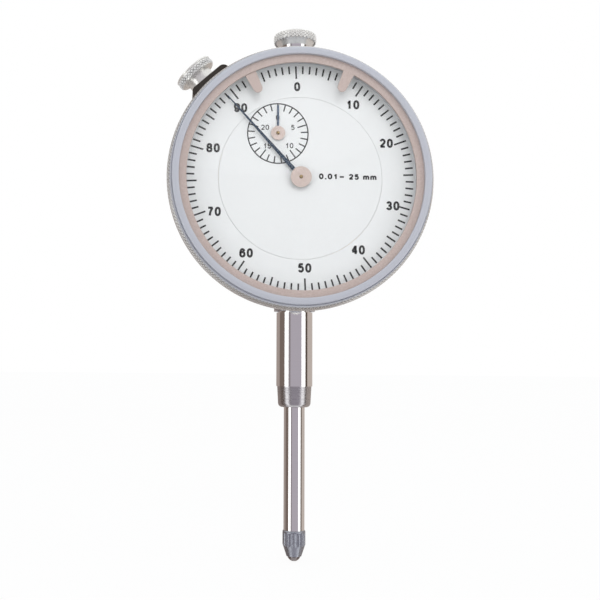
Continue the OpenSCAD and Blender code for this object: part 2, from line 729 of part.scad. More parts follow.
module spring_post() color("silver") on_dial()
  translate([post_at[0], post_at[1], -post_behind]) cylinder(r = post_r, h = mid_front + post_behind);

module return_spring() color("slategray") {
  wire_r = spring_wire_d / 2;
  hook_gap = 0.05;
  lead = 1.2;
  sides = 6;
  pin_hook_r = pin_d / 2 + wire_r + hook_gap;
  post_hook_r = post_r + wire_r + hook_gap;
  coil_r = spring_coil_d / 2;
  steps = 10;
  post_z = dial_z + post_at[1];
  low = post_z + post_hook_r + lead;
  high = pin_z - pin_hook_r - lead;
  post_hook = [for (a = [330:-30:0])
    [spring_x + post_hook_r * cos(a), 0, post_z + post_hook_r * sin(a)]];
  coil = [for (i = [0:spring_turns * steps]) let (a = 90 + 360 * i / steps)
    [spring_x + coil_r * cos(a), coil_r * sin(a), low + (high - low) * i / (spring_turns * steps)]];
  rise = [[spring_x + post_hook_r, 0, post_z + post_r]];
  pin_hook = [for (a = [0:30:270]) [spring_x, pin_hook_r * cos(a), pin_z + pin_hook_r * sin(a)]];
  tube(concat(post_hook, rise, coil, pin_hook), wire_r, sides);
}

module hairspring() color("steelblue") on_dial() translate([takeup_at[0], takeup_at[1], hairspring_f]) {
  start_r = collet_r + hairspring_t / 2 + press_gap;
  turn_steps = 24;
  steps = turn_steps * hairspring_turns;
  spiral = [for (i = [0:steps])
    [start_r + (hairspring_r - start_r) * i / steps, takeup_angle + i * 360 / turn_steps]];
  half = hairspring_t / 2;
  linear_extrude(hairspring_w) polygon(concat(
    [for (p = spiral) polar(p[0] + half, p[1])],
    [for (i = [steps:-1:0]) polar(spiral[i][0] - half, spiral[i][1])]));
}

module hairspring_stud() color("silver") on_dial() translate([stud_at()[0], stud_at()[1], mid_back])
  cylinder(r = stud_r, h = mid_plate_t + plane_gap + hairspring_w);

module centre_dial() color("whitesmoke") on_dial() translate([0, 0, dial_back]) difference() {
  cylinder(d = centre_dial_d, h = dial_t);
  for (at = [centre_at, counter_at]) translate([at[0], at[1], -cut])
    cylinder(r = arbor_r + arbor_room, h = dial_t + 2 * cut);
}

module spindle() color("silver") difference() {
  union() {
    translate([0, 0, contact_top_z]) cylinder(r = spindle_r, h = knob_seat_z - contact_top_z);
    translate([0, 0, knob_seat_z - cut]) cylinder(d = thread_d, h = knob_thread_len + cut);
  }
  translate([0, 0, contact_top_z - cut])
    cylinder(d = thread_d + 2 * press_gap, h = contact_thread_len + screw_end_room + cut);
  translate([pin_start_x, 0, pin_z]) rotate([0, 90, 0])
    cylinder(d = pin_d + 2 * press_gap, h = spindle_r - pin_start_x + cut);
  translate([0, spindle_r + cut, 0]) rotate([90, 0, 0])
    linear_extrude(2 * (spindle_r + cut)) polygon(rack_cut_points());
}

module lifting_knob() color("silver") difference() {
  bottom = knob_seat_z;
  top = bottom + knob_h;
  edge = 0.25;
  r = knob_d / 2;
  dome_w = r - edge;
  dome_r = (dome_w * dome_w + knob_dome * knob_dome) / knob_dome / 2;
  dome_steps = 4;
  rotate_extrude() polygon(concat(
    [[0, bottom], [upper_bush_d / 2, bottom], [r - edge / 2, bottom + knob_bevel - edge],
      [r, bottom + knob_bevel], [r, top - knob_dome - edge]],
    [for (k = [dome_steps:-1:0]) let (x = dome_w * k / dome_steps)
      [x, top - dome_r + sqrt(dome_r * dome_r - x * x)]]));
  translate([0, 0, bottom - cut])
    cylinder(d = thread_d + 2 * press_gap, h = knob_thread_len + screw_end_room + cut);
}

module contact_point() color("slategray") difference() {
  r = contact_d / 2;
  edge = 0.25;
  flute_d = 0.5;
  flute_out = 0.12;
  cone_top = contact_top_z - contact_len;
  union() {
    rotate_extrude() polygon([
      [0, contact_top_z], [r - edge, contact_top_z], [r, contact_top_z - edge], [r, cone_top],
      [contact_tip_d / 2, contact_end_z], [0, contact_end_z]]);
    translate([0, 0, contact_top_z - edge]) cylinder(d = thread_d, h = contact_thread_len + edge);
  }
  translate([0, 0, ball_z()]) sphere(d = ball_d + 2 * press_gap);
  for (i = [0:flute_count - 1]) rotate(i * 360 / flute_count)
    translate([r + flute_out, 0, cone_top - contact_cone / 2])
      cylinder(d = flute_d, h = contact_len + contact_cone / 2 - 2 * edge, $fn = 6);
}

function ball_z() = contact_end_z - ball_out + ball_d / 2;

module contact_ball() color("dimgray") translate([0, 0, ball_z()]) sphere(d = ball_d);

module guide_pin() color("darkgray") translate([pin_start_x, 0, pin_z]) rotate([0, 90, 0])
  cylinder(d = pin_d, h = pin_end_x - pin_start_x);

module rack_arbor() color("silver") on_dial()
  translate([rack_at[0], rack_at[1], -mid_back - cock_t + end_play])
    cylinder(r = rack_arbor_r, h = mid_back + cock_t + dial_back - 2 * end_play);

module rack_pinion() color("silver") on_dial() translate([rack_at[0], rack_at[1], -rack_pinion_half])
  pinion(rack_pinion_teeth, rack_module, rack_arbor_r + press_gap, 2 * rack_pinion_half, 0);

module main_wheel() color("goldenrod") on_dial() translate([rack_at[0], rack_at[1], main_f])
  wheel(wheel_teeth, main_module, rack_arbor_r + press_gap, main_wheel_hub_r, main_wheel_phase);

module counter_pinion() color("silver") on_dial() translate([rack_at[0], rack_at[1], counter_f - end_play])
  pinion(pinion_teeth, counter_module, rack_arbor_r + press_gap, wheel_t + 2 * end_play, 0);

module centre_arbor() color("silver") on_dial() translate([0, 0, mid_back + end_play])
  cylinder(r = arbor_r, h = main_hub_f + hub_t + hub_proud - mid_back - end_play);

module centre_pinion() color("silver") on_dial() translate([0, 0, takeup_f - end_play])
  pinion(pinion_teeth, main_module, arbor_r + press_gap,
    main_f + wheel_t - takeup_f + 2 * end_play, centre_phase);

// Tapered hand with a round eye, pointing up
module hand(length, base_w, tip_w, eye_r, t) {
  difference() {
    union() {
      cylinder(r = eye_r, h = t);
      linear_extrude(t) polygon([
        [-base_w / 2, 0], [base_w / 2, 0], [tip_w / 2, length], [-tip_w / 2, length]]);
    }
    translate([0, 0, -cut]) cylinder(r = arbor_r + press_gap, h = t + 2 * cut);
  }
}

module main_pointer() color("midnightblue") on_dial() translate([0, 0, main_pointer_f])
  rotate(pointer_angle) hand(pointer_len, pointer_w, pointer_tip_w, hub_d / 2 - eye_inset, pointer_t);

module main_hub() color("tan") on_dial() translate([0, 0, main_hub_f])
  ring(hub_d / 2, arbor_r + press_gap, hub_t);

module counter_arbor() color("silver") on_dial()
  translate([counter_at[0], counter_at[1], counter_f - end_play])
    cylinder(r = arbor_r, h = counter_hub_f + counter_hub_t + hub_proud - counter_f + end_play);

module counter_wheel() color("goldenrod") on_dial() translate([counter_at[0], counter_at[1], counter_f])
  wheel(counter_teeth, counter_module, arbor_r + press_gap, counter_wheel_hub_r, counter_phase);

module counter_pointer() color("midnightblue") on_dial()
  translate([counter_at[0], counter_at[1], counter_pointer_f])
    hand(counter_pointer_len, counter_pointer_w, counter_pointer_w,
      counter_hub_d / 2 - eye_inset, pointer_t);

module counter_hub() color("tan") on_dial() translate([counter_at[0], counter_at[1], counter_hub_f])
  ring(counter_hub_d / 2, arbor_r + press_gap, counter_hub_t);

module takeup_arbor() color("silver") on_dial() translate([takeup_at[0], takeup_at[1], mid_back + end_play])
  cylinder(r = arbor_r, h = dial_back - mid_back - 2 * end_play);

module takeup_wheel() color("goldenrod") on_dial() translate([takeup_at[0], takeup_at[1], takeup_f])
  wheel(wheel_teeth, main_module, arbor_r + press_gap, takeup_hub_r, takeup_phase);

module hairspring_collet() color("goldenrod") on_dial()
  translate([takeup_at[0], takeup_at[1], hairspring_f])
    ring(collet_r, arbor_r + press_gap, hairspring_w + plane_gap - press_gap);

module bezel() color("lightsteelblue") on_dial() difference() {
  edge = 0.3;
  rotate_extrude() polygon([
    [bezel_bore_r, skirt_back], [skirt_r, skirt_back], [skirt_r, rim_back - edge],
    [rim_r - edge, rim_back], [rim_r, rim_back + edge], [rim_r, rim_front],
    [lip_r + edge, lip_foot], [lip_r, lip_foot], [lip_r, lip_front - edge / 2],
    [lip_r - edge / 2, lip_front], [window_r + edge, lip_front], [window_r, lip_front - edge],
    [window_r, lip_back], [bezel_bore_r, lip_back]]);
  translate([0, 0, snap_depth]) rotate_extrude()
    translate([snap_ring_r, 0]) circle(d = snap_wire_d + 4 * ring_gap);
}

module crystal() color("azure", 0.4) on_dial() translate([0, 0, crystal_back])
  cylinder(r = bezel_bore_r - press_gap, h = crystal_t);

module crystal_gasket() color("dimgray") on_dial() translate([0, 0, spacer_front])
  ring(bezel_bore_r - press_gap, bezel_bore_r - spacer_band, crystal_gasket_t);

module spacer_ring() color("silver") on_dial() translate([0, 0, dial_face])
  ring(bezel_bore_r - press_gap, bezel_bore_r - spacer_band, spacer_h);

module scale_ring() color("whitesmoke") on_dial() translate([0, 0, dial_back])
  ring(bezel_bore_r - press_gap, scale_bore_r, dial_t);

// Thin ring with a round-ended finger that points inward from the top
module marker() {
  tip = marker_r - finger_len + finger_tip_w / 2;
  root = marker_r + marker_band / 2;
  union() {
    ring(inset_r, marker_r, marker_t);
    linear_extrude(marker_t) polygon([
      [-finger_base_w / 2, root], [finger_base_w / 2, root], [finger_tip_w / 2, tip], [-finger_tip_w / 2, tip]]);
    translate([0, tip, 0]) cylinder(d = finger_tip_w, h = marker_t);
  }
}

module left_marker() color("tan") on_dial() translate([0, 0, left_marker_back])
  rotate(left_finger_angle) marker();

module right_marker() color("tan") on_dial() translate([0, 0, right_marker_back])
  rotate(-right_finger_angle) marker();

module clamp_block() color("black") on_clamp() difference() {
  saddle_r = case_r + clamp_gap;
  front = rim_back - clamp_rim_room;
  step = skirt_back - clamp_gap;
  back = case_back - clamp_back_inset;
  low = sqrt(saddle_r * saddle_r - clamp_block_w * clamp_block_w / 4) - cut;
  high = case_r + clamp_block_h;
  half = clamp_block_w / 2;
  translate([0, back, 0]) rotate([90, 0, 0]) linear_extrude(front + back) difference() {
    union() {
      translate([-half, low]) square([clamp_block_w, high - clamp_round - low]);
      translate([clamp_round - half, low]) square([clamp_block_w - 2 * clamp_round, high - low]);
      for (s = [-1, 1]) translate([s * (half - clamp_round), high - clamp_round]) circle(clamp_round);
    }
    circle(saddle_r);
  }
  translate([0, -step, 0]) rotate([90, 0, 0]) cylinder(r = skirt_r + clamp_gap, h = front - step + cut);
  cylinder(d = clamp_thread_d + 2 * run_gap, h = high + cut);
}

module clamp_screw() color("silver") on_clamp() {
  neck = case_r + clamp_block_h + ring_gap;
  low = case_r - clamp_thread_in;
  head = neck + clamp_neck_len;
  top = head + clamp_head_t;
  r = clamp_head_d / 2;
  edge = 0.3;
  rotate_extrude() polygon([
    [0, low], [clamp_thread_d / 2, low], [clamp_thread_d / 2, neck], [clamp_neck_d / 2, neck],
    [clamp_neck_d / 2, head], [r - edge, head], [r, head + edge], [r, top - edge], [r - edge, top],
    [0, top]]);
}

case();
back_cover();
back_gasket();
back_cover_screws();
stem();
stem_bush();
stem_top_bush();
upper_bush();
bezel_snap_ring();
mid_plate();
plate_screws();
plate_pillars();
pillar_screws();
front_plate();
front_plate_bushes();
mid_plate_bushes();
counter_bush();
rack_cock();
rack_cock_bush();
rack_cock_screws();
guide_rail();
guide_rail_screws();
spring_post();
return_spring();
hairspring();
hairspring_stud();
centre_dial();
spindle();
lifting_knob();
contact_point();
contact_ball();
guide_pin();
rack_arbor();
rack_pinion();
main_wheel();
counter_pinion();
centre_arbor();
centre_pinion();
main_pointer();
main_hub();
counter_arbor();
counter_wheel();
counter_pointer();
counter_hub();
takeup_arbor();
takeup_wheel();
hairspring_collet();
bezel();
crystal();
crystal_gasket();
spacer_ring();
scale_ring();
left_marker();
right_marker();
clamp_block();
clamp_screw();
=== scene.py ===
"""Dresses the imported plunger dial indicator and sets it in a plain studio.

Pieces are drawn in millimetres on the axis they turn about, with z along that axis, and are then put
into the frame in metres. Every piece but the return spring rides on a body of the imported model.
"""

from __future__ import annotations

import json
import logging
import math
from collections.abc import Sequence
from dataclasses import dataclass, field
from enum import Enum

import bmesh
import bpy
from mathutils import Matrix, Vector

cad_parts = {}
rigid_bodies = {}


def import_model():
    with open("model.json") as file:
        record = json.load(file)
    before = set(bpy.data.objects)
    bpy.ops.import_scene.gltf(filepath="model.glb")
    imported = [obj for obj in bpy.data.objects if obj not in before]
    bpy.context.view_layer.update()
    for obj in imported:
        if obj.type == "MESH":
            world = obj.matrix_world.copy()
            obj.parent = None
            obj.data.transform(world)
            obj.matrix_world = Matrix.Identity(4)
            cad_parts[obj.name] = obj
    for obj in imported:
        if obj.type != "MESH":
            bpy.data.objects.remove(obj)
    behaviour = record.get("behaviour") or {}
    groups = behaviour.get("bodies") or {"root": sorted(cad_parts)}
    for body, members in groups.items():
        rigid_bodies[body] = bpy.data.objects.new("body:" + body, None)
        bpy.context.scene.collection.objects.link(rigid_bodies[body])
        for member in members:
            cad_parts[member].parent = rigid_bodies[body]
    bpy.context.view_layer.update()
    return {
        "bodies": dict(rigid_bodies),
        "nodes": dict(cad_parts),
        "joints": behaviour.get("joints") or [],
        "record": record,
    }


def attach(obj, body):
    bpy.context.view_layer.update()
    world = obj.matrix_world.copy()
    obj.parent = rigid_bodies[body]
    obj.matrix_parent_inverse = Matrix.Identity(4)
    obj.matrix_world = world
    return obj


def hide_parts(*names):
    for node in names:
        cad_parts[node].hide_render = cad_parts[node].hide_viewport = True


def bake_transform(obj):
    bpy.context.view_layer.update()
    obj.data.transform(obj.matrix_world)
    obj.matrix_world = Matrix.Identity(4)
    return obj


LOG = logging.getLogger("dial_indicator")
MILLIMETRE = 0.001
DIAL_HEIGHT = 36.6
CLAMP_ANGLE = 41.5
COUNTER_PLACE = (-4.93, 9.63, 0.0)
DIAL_FACE = 9.3
PRINT_HEIGHT = 0.02
PRINT_FRONT = DIAL_FACE + PRINT_HEIGHT
CRYSTAL_IOR = 1.2
LINE_SHARE = 0.7
KNURL_GRAIN = 0.2
# Height mark on the knurl's corners that the painted shade at the pyramids' foot is read from.
KNURL_RISE = "rise"
KNURL_TOP = 0.38
KNURL_LEAN = 1.2
BUMP_STRENGTH = 0.6

Colour = tuple[float, float, float]
Point = tuple[float, float]
Place = tuple[float, float, float]
Mesh = bpy.types.Mesh
Node = bpy.types.Node
Socket = bpy.types.NodeSocket


class Seat(Enum):
    """Axis that a round piece is drawn on."""

    DIAL = "dial"
    PLUNGER = "plunger"
    CLAMP = "clamp"
    COUNTER = "counter"

    @property
    def matrix(self) -> Matrix:
        """Place of this axis in the frame, in millimetres."""
        centre = Matrix.Translation((0.0, 0.0, DIAL_HEIGHT))
        facing = Matrix.Rotation(math.radians(90.0), 4, "X")
        if self is Seat.DIAL:
            return centre @ facing
        if self is Seat.COUNTER:
            return centre @ facing @ Matrix.Translation(COUNTER_PLACE)
        if self is Seat.CLAMP:
            return centre @ Matrix.Rotation(math.radians(-CLAMP_ANGLE), 4, "Y")
        return Matrix.Identity(4)

    @property
    def placing(self) -> Matrix:
        """Takes a drawing in millimetres on this axis into the frame in metres."""
        return Matrix.Scale(MILLIMETRE, 4) @ self.matrix


# Finishes


@dataclass(frozen=True)
class Finish:
    """A surface, as its colours, gloss and relief.

    Attributes:
        name: Name of the material.
        slot: Slot of the record that the finish belongs to.
        light: Colour of the clean surface.
        dark: Colour in the low places of its pattern; on a knurl also the painted shade at each pyramid's foot.
        metallic: Share of metal.
        gloss: Lowest and highest roughness.
        grain: Size of its grain in millimetres.
        lines: Pitch of its turned lines in millimetres, or 0 for none.
        relief: Height of the pattern in millimetres.
        seat: Axis that the turned lines run around.
        valley_shade: Share of a knurl's height at its foot that is darkened as painted shade, or 0 for a surface
            without a knurl.
    """

    name: str
    slot: str
    light: Colour
    dark: Colour
    metallic: float
    gloss: tuple[float, float]
    grain: float
    lines: float = 0.0
    relief: float = 0.0
    seat: Seat = Seat.DIAL
    valley_shade: float = 0.0


LIP_CHROME = Finish(
    "lip_chrome", "satin_chrome", (0.56, 0.58, 0.63), (0.51, 0.53, 0.58), 0.45, (0.40, 0.52), 0.30, 0.12, 0.003
)
CASE_CHROME = Finish(
    "case_chrome", "satin_chrome", (0.68, 0.69, 0.73), (0.60, 0.61, 0.65), 1.0, (0.32, 0.46), 0.25, 0.0, 0.004
)
# On the knurl finishes the dark colour is painted shade, laid at the foot of each pyramid where the valleys lie.
KNURL_NICKEL = Finish(
    "knurl_nickel", "satin_chrome", (0.74, 0.735, 0.725), (0.17, 0.165, 0.165), 0.7, (0.20, 0.36), 0.20, valley_shade=0.55
)
HEAD_NICKEL = Finish(
    "head_nickel", "polished_steel", (0.92, 0.91, 0.88), (0.78, 0.77, 0.74), 0.55, (0.16, 0.28), 0.25
)
# The dark colours of both knurl finishes below are painted shade at the pyramids' foot.
KNOB_KNURL = Finish(
    "knob_knurl", "polished_steel", (0.95, 0.94, 0.91), (0.50, 0.495, 0.49), 0.45, (0.16, 0.34), 0.25, valley_shade=0.45
)
CLAMP_KNURL = Finish(
    "clamp_knurl", "polished_steel", (0.95, 0.945, 0.93), (0.02, 0.021, 0.026), 0.3, (0.24, 0.46), 0.25, valley_shade=0.6
)
STEM_CHROME = Finish(
    "stem_chrome", "polished_steel", (0.86, 0.85, 0.85), (0.80, 0.79, 0.79), 1.0, (0.05, 0.09), 0.40, 0.10, 0.0004,
    Seat.PLUNGER,
)
BUSH_STEEL = Finish(
    "bush_steel", "dull_steel", (0.56, 0.55, 0.56), (0.44, 0.43, 0.45), 1.0, (0.22, 0.34), 0.12, 0.10, 0.003,
    Seat.PLUNGER,
)
CONTACT_STEEL = Finish(
    "contact_steel", "dull_steel", (0.46, 0.48, 0.53), (0.30, 0.32, 0.37), 1.0, (0.34, 0.52), 0.16, 0.0, 0.006,
    Seat.PLUNGER,
)
BALL_STEEL = Finish(
    "ball_steel", "ball_steel", (0.30, 0.27, 0.27), (0.20, 0.18, 0.18), 1.0, (0.18, 0.30), 0.20, 0.0, 0.0, Seat.PLUNGER
)
BRIGHT_STEEL = Finish(
    "bright_steel", "bright_steel", (0.62, 0.62, 0.63), (0.48, 0.48, 0.50), 1.0, (0.22, 0.36), 0.20, 0.0, 0.002
)
SPRING_STEEL = Finish(
    "spring_steel", "spring_steel", (0.36, 0.39, 0.45), (0.24, 0.26, 0.31), 1.0, (0.22, 0.38), 0.15
)
BRASS = Finish("brass", "brass", (0.76, 0.56, 0.26), (0.60, 0.42, 0.17), 1.0, (0.26, 0.42), 0.22, 0.0, 0.002)
PIVOT_BRASS = Finish("pivot_brass", "brass", (0.42, 0.31, 0.18), (0.12, 0.085, 0.045), 1.0, (0.18, 0.30), 0.30)
BRONZE = Finish("bronze", "bronze", (0.60, 0.37, 0.17), (0.46, 0.27, 0.11), 1.0, (0.30, 0.46), 0.20, 0.15, 0.002)
RUBBER = Finish(
    "gasket_rubber", "gasket_rubber", (0.030, 0.030, 0.031), (0.018, 0.018, 0.018), 0.0, (0.60, 0.80), 0.15, 0.0, 0.01
)
DIAL_WHITE = Finish(
    "dial_white", "dial_white", (0.775, 0.785, 0.785), (0.745, 0.755, 0.757), 0.0, (0.46, 0.58), 0.35, 0.0, 0.002
)
PRINT_INK = Finish(
    "print_ink", "blued_steel", (0.012, 0.011, 0.012), (0.022, 0.020, 0.022), 0.0, (0.50, 0.66), 0.12, 0.0, 0.002
)
MARKER_BEIGE = Finish(
    "marker_beige", "beige_metal", (0.60, 0.505, 0.47), (0.47, 0.375, 0.335), 0.30, (0.42, 0.58), 0.22, 0.0, 0.004
)
SPACER_METAL = Finish(
    "spacer_metal", "spacer_metal", (0.66, 0.67, 0.69), (0.54, 0.55, 0.58), 0.6, (0.40, 0.55), 0.25, 0.15, 0.003
)
BLUED_STEEL = Finish(
    "blued_steel", "blued_steel", (0.070, 0.095, 0.135), (0.030, 0.042, 0.065), 0.8, (0.22, 0.36), 0.30
)
CLAMP_BLACK = Finish(
    "clamp_black", "black_steel", (0.044, 0.034, 0.025), (0.018, 0.014, 0.010), 0.2, (0.30, 0.46), 0.20, 0.0, 0.006
)
CLEAR_CRYSTAL = Finish("clear_crystal", "crystal", (0.985, 0.99, 0.995), (0.985, 0.99, 0.995), 0.0, (0.010, 0.025), 1.5)

SLOT_FINISH: dict[str, Finish] = {
    "satin_chrome": CASE_CHROME,
    "polished_steel": STEM_CHROME,
    "dull_steel": BUSH_STEEL,
    "bright_steel": BRIGHT_STEEL,
    "spring_steel": SPRING_STEEL,
    "brass": BRASS,
    "bronze": BRONZE,
    "gasket_rubber": RUBBER,
    "dial_white": DIAL_WHITE,
    "beige_metal": MARKER_BEIGE,
    "spacer_metal": SPACER_METAL,
    "blued_steel": BLUED_STEEL,
    "crystal": CLEAR_CRYSTAL,
    "ball_steel": BALL_STEEL,
    "black_steel": CLAMP_BLACK,
}
NODE_FINISH: dict[str, Finish] = {"contact_point": CONTACT_STEEL}


@dataclass
class NodeBench:
    """Puts nodes into a tree and wires them."""

    tree: bpy.types.NodeTree

    def add(self, kind: str, inputs: dict[str | int, object] | None = None, **settings: object) -> Node:
        """Adds a node, sets its own options and feeds its inputs.

        Args:
            kind: Type name of the node.
            inputs: Sockets or plain values, by the input's name or number.
            **settings: Options of the node, by name.

        Returns:
            The new node.
        """
        node = self.tree.nodes.new(kind)
        for name, value in settings.items():
            setattr(node, name, value)
        self.feed(node, inputs or {})
        return node

    def feed(self, node: Node, inputs: dict[str | int, object]) -> None:
        """Links sockets to a node's inputs, or sets plain values on them.

        Args:
            node: The node.
            inputs: Sockets or plain values, by the input's name or number.
        """
        for key, source in inputs.items():
            if isinstance(source, bpy.types.NodeSocket):
                self.tree.links.new(source, node.inputs[key])
            else:
                node.inputs[key].default_value = source

    def math(self, operation: str, *values: object) -> Socket:
        """Works out a number from numbers or sockets."""
        return self.add("ShaderNodeMath", dict(enumerate(values)), operation=operation).outputs[0]

    def vector(self, x: object, y: object, z: object) -> Socket:
        """Joins three numbers or sockets into a vector."""
        return self.add("ShaderNodeCombineXYZ", {0: x, 1: y, 2: z}).outputs[0]

    def split(self, vector: Socket) -> list[Socket]:
        """Parts a vector into its three numbers."""
        return list(self.add("ShaderNodeSeparateXYZ", {0: vector}).outputs)

    def shown(self) -> Socket:
        """Picks the rays that show a surface: the camera's own, and those by gloss or through glass.

        Returns:
            A mask of these rays.
        """
        path = self.add("ShaderNodeLightPath").outputs
        seen = self.math("MAXIMUM", path["Is Camera Ray"], path["Is Glossy Ray"])
        return self.math("MAXIMUM", seen, path["Is Transmission Ray"])


class MaterialShop:
    """Makes the materials, each one once, from two shared patterns."""

    def __init__(self) -> None:
        """Builds the patterns: a cloudy grain, and the fine lines that a lathe leaves around an axis."""
        self.made: dict[str, bpy.types.Material] = {}
        self.grain = self._noise_group("surface_grain", "Size", 4.0, 0.62, 0.32, False)
        self.lines = self._noise_group("turned_lines", "Pitch", 2.0, 0.5, 0.35, True)

    @staticmethod
    def _noise_group(
        name: str, size: str, detail: float, roughness: float, clean: float, turned: bool
    ) -> bpy.types.NodeTree:
        """Makes a pattern of noise as a group with a mask and a height.

        Args:
            name: Name of the group.
            size: Name of its size input.
            detail: Detail of the noise.
            roughness: Roughness of the noise.
            clean: Noise up to which the mask is 0. It is 1 from the same distance below 1.
            turned: Whether the noise runs in rings around the axis.

        Returns:
            The group.
        """
        tree = bpy.data.node_groups.new(name, "ShaderNodeTree")
        for label, way, kind in (
            ("Vector", "INPUT", "NodeSocketVector"),
            (size, "INPUT", "NodeSocketFloat"),
            ("Mask", "OUTPUT", "NodeSocketFloat"),
            ("Height", "OUTPUT", "NodeSocketFloat"),
        ):
            tree.interface.new_socket(label, in_out=way, socket_type=kind)
        bench = NodeBench(tree)
        given = bench.add("NodeGroupInput").outputs
        place = given["Vector"]
        if turned:
            x, y, z = bench.split(place)
            reach = bench.add("ShaderNodeVectorMath", {0: bench.vector(x, y, 0.0)}, operation="LENGTH")
            place = bench.vector(reach.outputs["Value"], z, 0.0)
        scale = bench.math("DIVIDE", 1.0, given[size])
        noise = bench.add(
            "ShaderNodeTexNoise",
            {"Vector": place, "Scale": scale, "Detail": detail, "Roughness": roughness},
            noise_dimensions="2D" if turned else "3D",
        ).outputs["Fac"]
        mask = bench.add("ShaderNodeMapRange", {"Value": noise, "From Min": clean, "From Max": 1.0 - clean})
        bench.add("NodeGroupOutput", {"Mask": mask.outputs["Result"], "Height": noise})
        return tree

    def material(self, finish: Finish) -> bpy.types.Material:
        """Gives the material of a finish, making it the first time.

        Args:
            finish: The finish wanted.

        Returns:
            Its material.
        """
        if finish.name not in self.made:
            self.made[finish.name] = self._make(finish)
        return self.made[finish.name]

    def _pattern(self, bench: NodeBench, finish: Finish) -> tuple[Socket, Socket]:
        """Lays the grain, the turned lines and the painted shade in the knurl's valleys of a finish on the piece.

        Args:
            bench: Bench on the material's tree.
            finish: The finish.

        Returns:
            The pattern's mask and its height.
        """
        turn = finish.seat.matrix.inverted()
        placing = {"Location": turn.translation, "Rotation": turn.to_euler("XYZ"), "Scale": (1.0 / MILLIMETRE,) * 3}
        here = bench.add("ShaderNodeTexCoord").outputs["Object"]
        place = bench.add("ShaderNodeMapping", {"Vector": here, **placing}).outputs["Vector"]
        grain = bench.add("ShaderNodeGroup", node_tree=self.grain)
        bench.feed(grain, {"Vector": place, "Size": finish.grain})
        mask, height = grain.outputs["Mask"], grain.outputs["Height"]
        if finish.lines:
            lines = bench.add("ShaderNodeGroup", {"Vector": place, "Pitch": finish.lines}, node_tree=self.lines)
            rest = 1.0 - LINE_SHARE
            mask = bench.math("MULTIPLY_ADD", lines.outputs["Mask"], LINE_SHARE, bench.math("MULTIPLY", mask, rest))
            height = bench.math("ADD", lines.outputs["Height"], bench.math("MULTIPLY", height, rest))
        # Painted shade: a knurl's pyramids darken towards their foot, so the valleys between them read as shaded.
        if finish.valley_shade:
            rise = bench.add("ShaderNodeAttribute", attribute_name=KNURL_RISE).outputs["Fac"]
            depth = bench.math("SUBTRACT", 1.0, bench.math("DIVIDE", rise, finish.valley_shade))
            mask = bench.math("MAXIMUM", depth, bench.math("MULTIPLY", mask, KNURL_GRAIN))
        return mask, height

    def _make(self, finish: Finish) -> bpy.types.Material:
        """Builds the material of a finish.

        Args:
            finish: The finish.

        Returns:
            The new material.
        """
        material = bpy.data.materials.new(finish.name)
        material.use_nodes = True
        bench = NodeBench(material.node_tree)
        surface = bench.tree.nodes["Principled BSDF"]
        mask, height = self._pattern(bench, finish)
        gloss = bench.add("ShaderNodeMapRange", {"Value": mask, "To Min": finish.gloss[0], "To Max": finish.gloss[1]})
        bench.feed(surface, {"Metallic": finish.metallic, "Roughness": gloss.outputs["Result"]})
        if finish is CLEAR_CRYSTAL:
            self._clear(bench, surface, finish)
        else:
            # The light and dark colours are mixed by the mask: grain tone, and on a knurl also painted shade in its
            # valleys.
            tone = bench.add("ShaderNodeMix", {"Factor": mask}, data_type="RGBA")
            ends = [socket for socket in tone.inputs if socket.type == "RGBA"]
            for socket, colour in zip(ends, (finish.light, finish.dark)):
                socket.default_value = (*colour, 1.0)
            bench.feed(surface, {"Base Color": next(s for s in tone.outputs if s.type == "RGBA")})
        if finish.relief:
            depth = finish.relief * MILLIMETRE
            bump = bench.add("ShaderNodeBump", {"Strength": BUMP_STRENGTH, "Distance": depth, "Height": height})
            bench.feed(surface, {"Normal": bump.outputs["Normal"]})
        return material

    @staticmethod
    def _clear(bench: NodeBench, surface: Node, finish: Finish) -> None:
        """Turns the surface into clear acrylic that lets the lamps through.

        Args:
            bench: Bench on the material's tree.
            surface: The material's surface node.
            finish: The clear finish.
        """
        bench.feed(surface, {"Base Color": (*finish.light, 1.0), "Transmission Weight": 1.0, "IOR": CRYSTAL_IOR})
        shadow = bench.add("ShaderNodeLightPath").outputs["Is Shadow Ray"]
        open_air = bench.add("ShaderNodeBsdfTransparent").outputs["BSDF"]
        choice = bench.add("ShaderNodeMixShader", {0: shadow, 1: surface.outputs["BSDF"], 2: open_air})
        bench.feed(bench.tree.nodes["Material Output"], {"Surface": choice.outputs["Shader"]})


# Shapes


